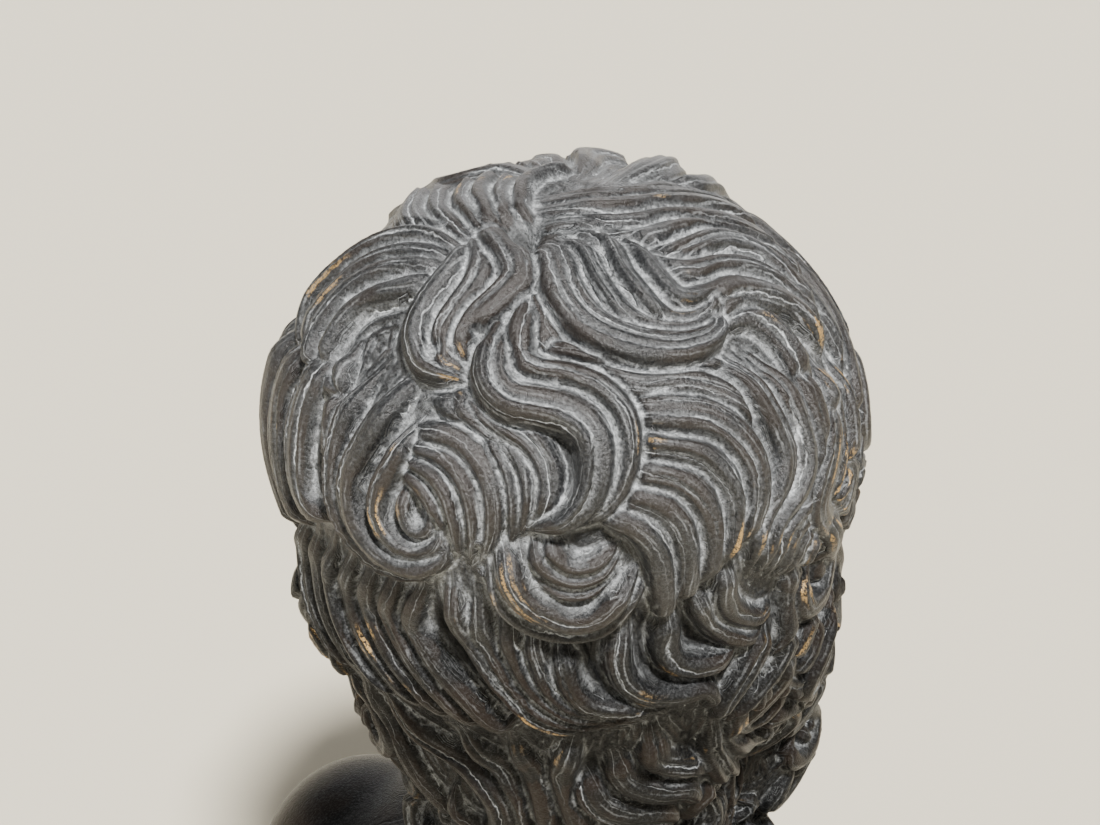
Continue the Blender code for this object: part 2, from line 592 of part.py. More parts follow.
def carve(spots, locks):
    """Height of the hair over each spot."""
    body, fill = np.full(len(spots), -np.inf), np.full(len(spots), -np.inf)
    fade = np.zeros(len(spots))
    for lock in sorted(locks, key=lambda lock: lock.level):
        near = lock.near(spots)
        along, across, half, beyond = lock.lay(spots[near])
        height, gap = lock.beside(across, half, beyond)
        better = (height > fill[near]) & (gap < FILL_REACH)
        fill[near[better]] = height[better]
        fade[near[better]] = 1.0 - eased_step(gap[better], 0.6 * FILL_REACH, FILL_REACH)
        on = (np.abs(across) < half + MOAT_WIDTH) & (beyond < 4.0)
        near, along, across, half, beyond = near[on], along[on], across[on], half[on], beyond[on]
        height = lock.body(along, across, half, beyond)
        body[near] = np.maximum(height, body[near] - lock.dig(along, across, half))
    fill = np.where(np.isfinite(fill), fill, 0.0) * fade * (1.0 - bare(spots))
    return np.maximum(body, fill)


def lay_hair(mesh, locks):
    """Raise the skin into the carved hair."""
    spots = corners(mesh)
    out = np.empty(len(spots) * 3)
    mesh.vertices.foreach_get("normal", out)
    out = eased(out.reshape(-1, 3), links(mesh), 14)
    out /= np.linalg.norm(out, axis=1)[:, None]
    height = calmed(carve(spots, locks), links(mesh)) * eased_step(spots[:, 2], *HAIR_FOOT)
    spots = eased(spots + out * height[:, None], links(mesh), 1)
    mesh.vertices.foreach_set("co", (spots * UNIT).ravel())
    mesh.update()


def moustache(face):
    """Two locks from under the nose, out and down over the corners of the mouth."""
    strands = []
    for hand in (-1, 1):
        for step in range(2):
            t = np.linspace(0.0, 1.0, 9)
            across = hand * (3.0 + (30.0 + 2.0 * step) * t)
            down = 238.0 - 5.5 * step - 3.0 * t - 19.0 * t ** 2.2 + 2.8 * step * t
            deep = [face.front(x, z) - MOUSTACHE_RISE for x, z in zip(across, down)]
            radii = 3.6 * (0.8 + 0.6 * t) * np.sqrt(1.02 - t ** 2)
            strands.append((np.column_stack([across, deep, down]), radii))
    return strands


def eyebrows(face):
    """A ridge of two rolls that lie on the brow over each eye."""
    strands = []
    for hand in (-1, 1):
        for step in range(2):
            t = np.linspace(0.0, 1.0, 9)
            across = hand * (8.0 + 40.0 * t)
            up = 304.0 + 3.0 * step + 5.0 * np.sin(math.pi * t) ** 0.8 - 2.0 * t
            deep = [face.front(x, z) + BROW_SINK for x, z in zip(across, up)]
            strands.append((np.column_stack([across, deep, up]), 2.8 * np.sqrt(1.05 - t ** 2)))
    return strands


def hair(skin):
    """All the locks of the hair and beard."""
    chance = random.Random(11)
    rows = sheaf_locks() + front_locks(chance) + side_locks(chance) + low_locks(chance) + beard_locks(chance)
    return [Lock(skin, row, chance) for row in rows]


def cut_flat(mesh):
    """Slice the bust level at its underside and close the cut."""
    bm = bmesh.new()
    bm.from_mesh(mesh)
    everything = bm.verts[:] + bm.edges[:] + bm.faces[:]
    cut = bmesh.ops.bisect_plane(bm, geom=everything, dist=1e-6, plane_co=(0, 0, 0),
                                 plane_no=(0, 0, 1), clear_inner=True)
    rim = [part for part in cut["geom_cut"] if isinstance(part, bmesh.types.BMEdge)]
    bmesh.ops.contextual_create(bm, geom=rim)
    bmesh.ops.triangulate(bm, faces=[face for face in bm.faces if len(face.verts) > 3])
    low = Vector([min(vert.co[k] for vert in bm.verts) for k in range(3)])
    high = Vector([max(vert.co[k] for vert in bm.verts) for k in range(3)])
    middle = (low + high) * 0.5
    bm.transform(Matrix.Translation((-middle.x, -middle.y, 0.0)))
    bmesh.ops.recalc_face_normals(bm, faces=bm.faces[:])
    bm.to_mesh(mesh)
    bm.free()


def lighten(mesh, wanted):
    """The same form with fewer faces."""
    mesh.calc_loop_triangles()
    holder = bpy.data.objects.new("lighten", mesh)
    fewer = holder.modifiers.new("fewer", "DECIMATE")
    fewer.ratio = wanted / len(mesh.loop_triangles)
    return settled(holder)


def bronze():
    """Dark, dull cast bronze."""
    material = bpy.data.materials.new("patinated bronze")
    material.use_nodes = True
    shader = material.node_tree.nodes["Principled BSDF"]
    shader.inputs["Base Color"].default_value = BRONZE
    shader.inputs["Metallic"].default_value = 0.75
    shader.inputs["Roughness"].default_value = 0.5
    return material


def bust():
    """The whole casting."""
    under = fuse(masses(), BASE_GRAIN * UNIT, 20)
    skin = Skin(under)
    press_face(under)
    locks = hair(skin)
    face = Skin(under)
    figure = fuse([under, *features(face), rolls(moustache(face) + eyebrows(face))], CAST_GRAIN, 1)
    lay_hair(figure, locks)
    light = lighten(figure, FACE_COUNT)
    cut_flat(light)
    light.materials.append(bronze())
    light.shade_smooth()
    light.set_sharp_from_angle(angle=math.radians(60.0))
    piece = bpy.data.objects.new("bust", light)
    home = bpy.data.collections.new("bronze bust")
    bpy.context.scene.collection.children.link(home)
    home.objects.link(piece)
    return piece


for old in list(bpy.data.objects):
    bpy.data.objects.remove(old)
bust()
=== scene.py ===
"""Looks of the cast bronze bust: its fine carving, its patina, the floor, the light and the camera.

The forms are laid out in figure units, one millimetre at life size, on the frame's own scale.
Places on the hair are given as a turn and a rise from the middle of the head. The turn goes from
the face (0 degrees) by the figure's left (90) to the back (180). The rise goes in degrees from
level (0) to the crown (90), and below level it counts steps of LEVEL_STEP down the neck and beard.
"""
import math
import random

import bmesh
import bpy
import numpy as np
from mathutils import Euler, Matrix, Vector
from mathutils.bvhtree import BVHTree


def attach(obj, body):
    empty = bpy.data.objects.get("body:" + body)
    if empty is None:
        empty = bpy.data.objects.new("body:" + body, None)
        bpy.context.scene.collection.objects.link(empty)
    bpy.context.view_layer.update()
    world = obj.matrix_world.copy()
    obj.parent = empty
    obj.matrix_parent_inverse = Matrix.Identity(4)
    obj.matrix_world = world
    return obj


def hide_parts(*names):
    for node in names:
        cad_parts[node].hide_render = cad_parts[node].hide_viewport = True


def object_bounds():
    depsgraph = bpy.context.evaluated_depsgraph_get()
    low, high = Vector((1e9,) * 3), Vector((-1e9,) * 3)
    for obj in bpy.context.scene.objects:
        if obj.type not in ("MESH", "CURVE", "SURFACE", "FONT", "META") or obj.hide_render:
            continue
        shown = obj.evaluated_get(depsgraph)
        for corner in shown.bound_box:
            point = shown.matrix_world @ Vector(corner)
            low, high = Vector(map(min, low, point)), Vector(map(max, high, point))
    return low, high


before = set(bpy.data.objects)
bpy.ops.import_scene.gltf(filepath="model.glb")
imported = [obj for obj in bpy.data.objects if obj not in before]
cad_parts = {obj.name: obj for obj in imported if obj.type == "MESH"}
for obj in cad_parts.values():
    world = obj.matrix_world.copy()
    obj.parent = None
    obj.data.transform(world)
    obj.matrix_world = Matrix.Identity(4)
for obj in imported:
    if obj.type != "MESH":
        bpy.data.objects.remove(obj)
CAD_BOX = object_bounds()

# The figure's own scale, from the height of the frame
FIGURE_TOP = 431.9
UNIT = (CAD_BOX[1].z - CAD_BOX[0].z) / FIGURE_TOP

# Where turns and rises are counted from, and how far out the rays start that find the skin
HEAD_MIDDLE = Vector((0.0, 10.0, 310.0))
LEVEL_STEP = 2.0
RAY_START = 300.0

# Eyes, nose and eyelids, in figure units
EYE_LEVEL = 291.0
EYE_APART = 31.0
EYE_RADIUS = 12.6
EYE_SEAT = -65.0
LID_REACH = 15.5
NOSE_TOP = 298.0
NOSE_FOOT = 247.0
NOSE_LENGTH = 46.0

# How far the small forms of the face are sunk into the skin, or lie over it
BROW_SINK = 0.5
LID_SINK = 0.6
LIP_SINK = 1.0
MOUSTACHE_RISE = 0.4

# Where no plain hair grows: the face, up to FACE_TURN from its middle, the mouth, and below the neck.
# A pair of heights is where the bare skin begins to show and where it is quite bare
FACE_TURN = 60.0
FACE_FOOT = (238.0, 246.0)
FACE_TOP = 366.0
MOUTH_HALF = 31.0
MOUTH_FOOT = (207.0, 212.0)
NECK_FOOT = 150.0

# The locks, in figure units: RELIEF is a lock's height, LEVEL_HEIGHT what each level adds to it, and
# a lock reaches ROOT_REACH before its first station and END_REACH past its last
RELIEF = 5.2
LEVEL_HEIGHT = 1.5
STRAND_WIDTH = 5.0
STRAND_SHARES = (0.45, 2.0)
STRAND_LIFTS = (-1.0, 1.2)
GROOVE_DEPTH = 2.6
GROOVE_CUTS = (0.3, 1.1)
RUN_STEP = 2.6
ROOT_REACH = 6.0
END_REACH = 4.0

# What a lock presses down under it and along its edges
DIG = 6.5
MOAT_WIDTH = 1.8
MOAT_DEPTH = 2.6

# The plain hair beside the locks
FILL_STRAND = 4.6
FILL_GROOVE = 1.7
FILL_REACH = 15.0
FILL_CUT = 0.5

# Where the hair fades out above the shoulders, how far a single corner may jut, and how often the
# directions that the hair is raised in are eased
HAIR_FOOT = (112.0, 126.0)
JUT = 0.4
RAISE_PASSES = 14

# Grain of the plain skin and of the one that is carved, in figure units, and the most faces kept
BASE_GRAIN = 3.0
BASE_PASSES = 20
CANVAS_GRAIN = 0.88
FACE_COUNT = 196000

# Colours of the patina and a near black for painted shade; below the lower height, in metres, the dust
# lies thin and the metal is darkened as painted shade, and above the upper one the dust is full
CHARCOAL = (0.0082, 0.0086, 0.0096)
# Near black, painted as shade deep between the locks and low on the bust
SHADE_BLACK = (0.002, 0.002, 0.002)
DUST = (0.64, 0.67, 0.69)
RUBBED = (0.022, 0.0135, 0.0085)
COPPER = (0.58, 0.38, 0.16)
DUST_AND_SHADE_FROM = 0.25
DUST_AND_SHADE_TO = 0.37
BUMP_DEPTH = 0.0007

# How often the bust is eased for the two forms that its relief is measured from
NEAR_PASSES = 6
WIDE_PASSES = 60

# Floor and studio: each lamp is its kind, name, place, size, strength and colour, and all of them
# look at LIT_POINT
FLOOR_HALF = 6.0
FLOOR_COLOUR = (0.62, 0.57, 0.45)
WORLD_COLOUR = (0.95, 0.93, 0.9)
WORLD_STRENGTH = 0.24
LIT_POINT = (0, 0, 0.3)
LAMPS = (
    ("SUN", "key", (-0.65, 0.72, 1.9), 0.15, 9.4, (1.0, 0.98, 0.95)),
    ("SUN", "front", (0.5, -1.4, 0.45), 1.2, 2.0, (1.0, 0.98, 0.96)),
    ("AREA", "fill", (0.9, 1.1, 0.7), 0.5, 4.0, (0.95, 0.97, 1.0)),
)

# Camera: its turn, rise and roll in degrees, its distance from what it looks at and that place in
# metres, and its lens in millimetres
CAMERA_TURN = 205.0
CAMERA_RISE = 28.0
CAMERA_ROLL = 1.0
CAMERA_DISTANCE = 0.795
CAMERA_TARGET = (0.0123, -0.0009, 0.330)
LENS = 70.0
SENSOR_WIDTH = 36.0


def put(name, data):
    """A new object with a place in the scene."""
    holder = bpy.data.objects.new(name, data)
    bpy.context.scene.collection.objects.link(holder)
    return holder


def ball(centre, radii, turn=(0.0, 0.0, 0.0)):
    """An ellipsoid of clay, in figure units."""
    bm = bmesh.new()
    bmesh.ops.create_uvsphere(bm, u_segments=36, v_segments=24, radius=1.0)
    spin = Euler([math.radians(a) for a in turn]).to_matrix().to_4x4()
    place = Matrix.Translation(Vector(centre)) @ spin @ Matrix.Diagonal((*radii, 1.0))
    bm.transform(Matrix.Scale(UNIT, 4) @ place)
    mesh = bpy.data.meshes.new("ball")
    bm.to_mesh(mesh)
    bm.free()
    return mesh


def rolls(strands, sides=1):
    """Rolls of clay: each strand is its points and its radius at each point, in figure units."""
    curve = bpy.data.curves.new("rolls", "CURVE")
    curve.dimensions = "3D"
    curve.bevel_depth = UNIT
    curve.bevel_resolution = sides
    curve.use_fill_caps = True
    for points, radii in strands:
        spline = curve.splines.new("POLY")
        spline.points.add(len(points) - 1)
        rows = np.ones((len(points), 4))
        rows[:, :3] = np.asarray(points) * UNIT
        spline.points.foreach_set("co", rows.ravel())
        spline.points.foreach_set("radius", np.asarray(radii, float))
    return settled(put("rolls", curve))


def settled(holder):
    """The mesh that an object's modifiers or curve give; the object itself is not kept."""
    bpy.context.view_layer.update()
    view = bpy.context.evaluated_depsgraph_get()
    mesh = bpy.data.meshes.new_from_object(holder.evaluated_get(view))
    bpy.data.objects.remove(holder)
    return mesh


def fuse(meshes, grain, passes):
    """One skin round all the clay, drawn on a grid of the given grain and eased in passes."""
    bm = bmesh.new()
    for mesh in meshes:
        bm.from_mesh(mesh)
    whole = bpy.data.meshes.new("clay")
    bm.to_mesh(whole)
    bm.free()
    holder = put("clay", whole)
    melt = holder.modifiers.new("melt", "REMESH")
    melt.mode = "VOXEL"
    melt.voxel_size = grain * UNIT
    ease = holder.modifiers.new("ease", "SMOOTH")
    ease.factor = 0.5
    ease.iterations = passes
    return settled(holder)


def corners(mesh):
    """The mesh's corners in figure units, as rows."""
    flat = np.empty(len(mesh.vertices) * 3)
    mesh.vertices.foreach_get("co", flat)
    return flat.reshape(-1, 3) / UNIT


def move_corners(mesh, spots):
    """Move the mesh's corners to the given rows."""
    mesh.vertices.foreach_set("co", (spots * UNIT).ravel())
    mesh.update()


def normals(mesh):
    """The way out of the mesh at every corner, as rows."""
    flat = np.empty(len(mesh.vertices) * 3)
    mesh.vertices.foreach_get("normal", flat)
    return flat.reshape(-1, 3)


def links(mesh):
    """The two ends of every edge, as rows."""
    flat = np.empty(len(mesh.edges) * 2, int)
    mesh.edges.foreach_get("vertices", flat)
    return flat.reshape(-1, 2)


def eased(spots, ends, passes):
    """The corners after sliding each towards the middle of its neighbours."""
    count = np.bincount(ends.ravel(), minlength=len(spots))[:, None]
    for _ in range(passes):
        total = np.zeros_like(spots)
        for k in range(3):
            total[:, k] = (np.bincount(ends[:, 0], spots[ends[:, 1], k], len(spots))
                           + np.bincount(ends[:, 1], spots[ends[:, 0], k], len(spots)))
        spots = 0.4 * spots + 0.6 * total / count
    return spots


def eased_step(value, low, high):
    """0 up to low, 1 from high, and smooth between."""
    share = np.clip((value - low) / (high - low), 0.0, 1.0)
    return share * share * (3.0 - 2.0 * share)


def calmed(height, ends):
    """The heights with single corners that jut out of their neighbours brought back among them."""
    count = np.bincount(ends.ravel(), minlength=len(height))
    total = (np.bincount(ends[:, 0], height[ends[:, 1]], len(height))
             + np.bincount(ends[:, 1], height[ends[:, 0]], len(height)))
    middle = total / count
    share = eased_step(np.abs(height - middle), JUT, 2.5 * JUT)
    return height + (middle - height) * share


class Skin:
    """The surface that hair is laid on."""

    def __init__(self, mesh):
        faces = [tuple(face.vertices) for face in mesh.polygons]
        self.tree = BVHTree.FromPolygons(corners(mesh).tolist(), faces)

    def spot(self, around, rise):
        """The outermost point of the surface at a turn and a rise."""
        turn = math.radians(around)
        lift = math.radians(max(rise, 0.0))
        start = HEAD_MIDDLE + Vector((0.0, 0.0, LEVEL_STEP * min(rise, 0.0)))
        ray = Vector((math.sin(turn) * math.cos(lift), -math.cos(turn) * math.cos(lift), math.sin(lift)))
        return self.tree.ray_cast(start + ray * RAY_START, -ray)[0]

    def front(self, x, z):
        """How far forward the surface lies at a place on the face."""
        return self.tree.ray_cast(Vector((x, -RAY_START, z)), Vector((0.0, 1.0, 0.0)))[0].y

    def settle(self, point):
        """The nearest point of the surface and the way out of it there."""
        place, out, _, _ = self.tree.find_nearest(Vector(point))
        return place, out


def masses():
    """The big forms under the hair, each by its centre and its radii."""
    forms = [
        # Skull and the hair over it
        ball((0, 8, 334), (76, 96, 80)),
        ball((0, 22, 338), (104, 99, 86)),
        ball((0, 28, 290), (98, 84, 80)),
        ball((0, -18, 368), (62, 52, 50)),
        # Face and jaw
        ball((0, -24, 284), (61, 66, 84)),
        ball((0, -34, 226), (50, 54, 46)),
        # Beard
        ball((0, -40, 212), (84, 60, 47)),
        ball((0, -48, 172), (79, 58, 56)),
        # Neck, throat and nape
        ball((0, 12, 170), (63, 60, 100)),
        ball((0, -6, 112), (90, 62, 42)),
        ball((0, 30, 236), (77, 60, 66)),
        # Trunk
        ball((0, 4, 60), (98, 72, 82)),
        ball((0, -22, 30), (104, 58, 76)),
    ]
    for hand in (-1, 1):
        # Hair over the ear
        forms.append(ball((hand * 60, 0, 266), (36, 44, 56)))
        # Slope of the neck, shoulder, and the breast between them
        forms.append(ball((hand * 62, 12, 104), (72, 46, 32), (0, hand * 17, 0)))
        forms.append(ball((hand * 100, 3, 77), (47, 50, 52)))
        forms.append(ball((hand * 72, -6, 62), (66, 57, 62)))
        forms.append(ball((hand * 46, -34, 46), (64, 50, 68)))
    return forms


def hump(x, z, middle, reach):
    """A smooth round swelling, 1 at its middle."""
    return np.exp(-((x - middle[0]) / reach[0]) ** 2 - ((z - middle[1]) / reach[1]) ** 2)


# Swellings (+) and hollows (-) of the face, the same on both sides: how far they stand out, their
# middle across and up, and their reach across and up
FACE_FORMS = (
    # Brow, root of the nose and sockets
    (4.5, (25, 308), (22, 7)),
    (3.0, (0, 304), (12, 9)),
    (-12.0, (EYE_APART, EYE_LEVEL - 1), (18, 12)),
    # Cheekbones, the hollow under them and the muzzle
    (5.0, (47, 267), (15, 13)),
    (-3.0, (38, 243), (12, 14)),
    (7.0, (0, 226), (27, 21)),
)


def press_face(mesh):
    """Push the front of the head into brow, sockets, nose, cheeks and muzzle."""
    spots = corners(mesh)
    x, y, z = spots.T
    wide = np.abs(x)
    push = np.zeros(len(spots))
    for amount, middle, reach in FACE_FORMS:
        push += amount * hump(wide, z, middle, reach)
    # The nose, from its root down to its tip, and the bridge between the eyes
    down = np.clip((NOSE_TOP - z) / NOSE_LENGTH, 0.0, 1.0)
    under = 1.0 / (1.0 + np.exp(-(z - NOSE_FOOT) / 1.6))
    bridge = 7.0 + 7.5 * down ** 2
    push += (2.0 + 24.0 * down ** 1.15) * under * np.exp(-(wide / bridge) ** 2.2) * (z < 305.0)
    push += 1.5 * hump(x, z, (0, 296), (8, 8))
    spots[:, 1] -= push * np.clip((-y - 30.0) / 25.0, 0.0, 1.0)
    move_corners(mesh, spots)


def lid(face, hand, rise, lift, radius):
    """One roll of an eyelid, bowed over the eyeball and let into the socket at its corners."""
    span = np.linspace(-1.0, 1.0, 17)
    reach = EYE_RADIUS + lift
    across = hand * EYE_APART + LID_REACH * span
    bow = rise * (1.0 - span ** 2) + 0.8 * hand * span
    ball_front = EYE_SEAT - np.sqrt(np.maximum(reach ** 2 - (LID_REACH * span) ** 2 - bow ** 2, 0.0))
    up = EYE_LEVEL + bow
    deep = [min(place, face.front(x, z) + LID_SINK) for place, x, z in zip(ball_front, across, up)]
    return np.column_stack([across, deep, up]), radius * (0.55 + 0.45 * (1.0 - span ** 2))


def ear(hand):
    """The rim and inner fold of an ear, as rolls."""
    turn = np.radians(np.linspace(-150.0, 95.0, 30))
    rim = np.column_stack([
        hand * (84.0 + 5.0 * np.cos(turn - 0.6)),
        6.0 + 16.0 * np.cos(turn),
        276.0 + 27.0 * np.sin(-turn),
    ])
    fold = np.column_stack([
        hand * (85.5 + 2.0 * np.cos(turn)),
        5.0 + 9.5 * np.cos(turn),
        274.0 + 18.0 * np.sin(-turn),
    ])
    return [(rim, np.full(len(turn), 3.4)), (fold, np.full(len(turn), 2.8))]


# Upper and lower lip, one half each: middle across and up, radii, tilt and roll
LIPS = (
    ((8.0, 225.0), (11.5, 5.0, 3.3), 12, 14),
    ((6.5, 217.0), (11.5, 5.6, 4.0), -8, 12),
)


def features(face):
    """Eyeballs, lids, wings of the nose, lips and ears."""
    forms = []
    strands = []
    for hand in (-1, 1):
        forms.append(ball((hand * EYE_APART, EYE_SEAT, EYE_LEVEL), (EYE_RADIUS,) * 3))
        for step in range(3):
            strands.append(lid(face, hand, 5.2 + 1.7 * step, 1.2 - 0.4 * step, 1.7))
            strands.append(lid(face, hand, -3.9 - 1.4 * step, 0.7 - 0.3 * step, 1.4))
        # Wing of the nose
        forms.append(ball((hand * 12.0, -99, 250.5), (6.4, 9.0, 6.2)))
        for (across, up), radii, tilt, roll in LIPS:
            place = (hand * across, face.front(across, up) + LIP_SINK, up)
            forms.append(ball(place, radii, (0, hand * tilt, hand * roll)))
        # Ear: its rim and fold, its lobe and what it stands on
        strands.extend(ear(hand))
        forms.append(ball((hand * 83, -1, 249), (5.5, 9.5, 10.0)))
        forms.append(ball((hand * 79, 3, 272), (6.0, 15.0, 24.0), (0, 0, hand * -14)))
    # Wall between the nostrils
    forms.append(ball((0, -103, 249), (4.5, 10.0, 5.0)))
    forms.append(rolls(strands, 2))
    return forms


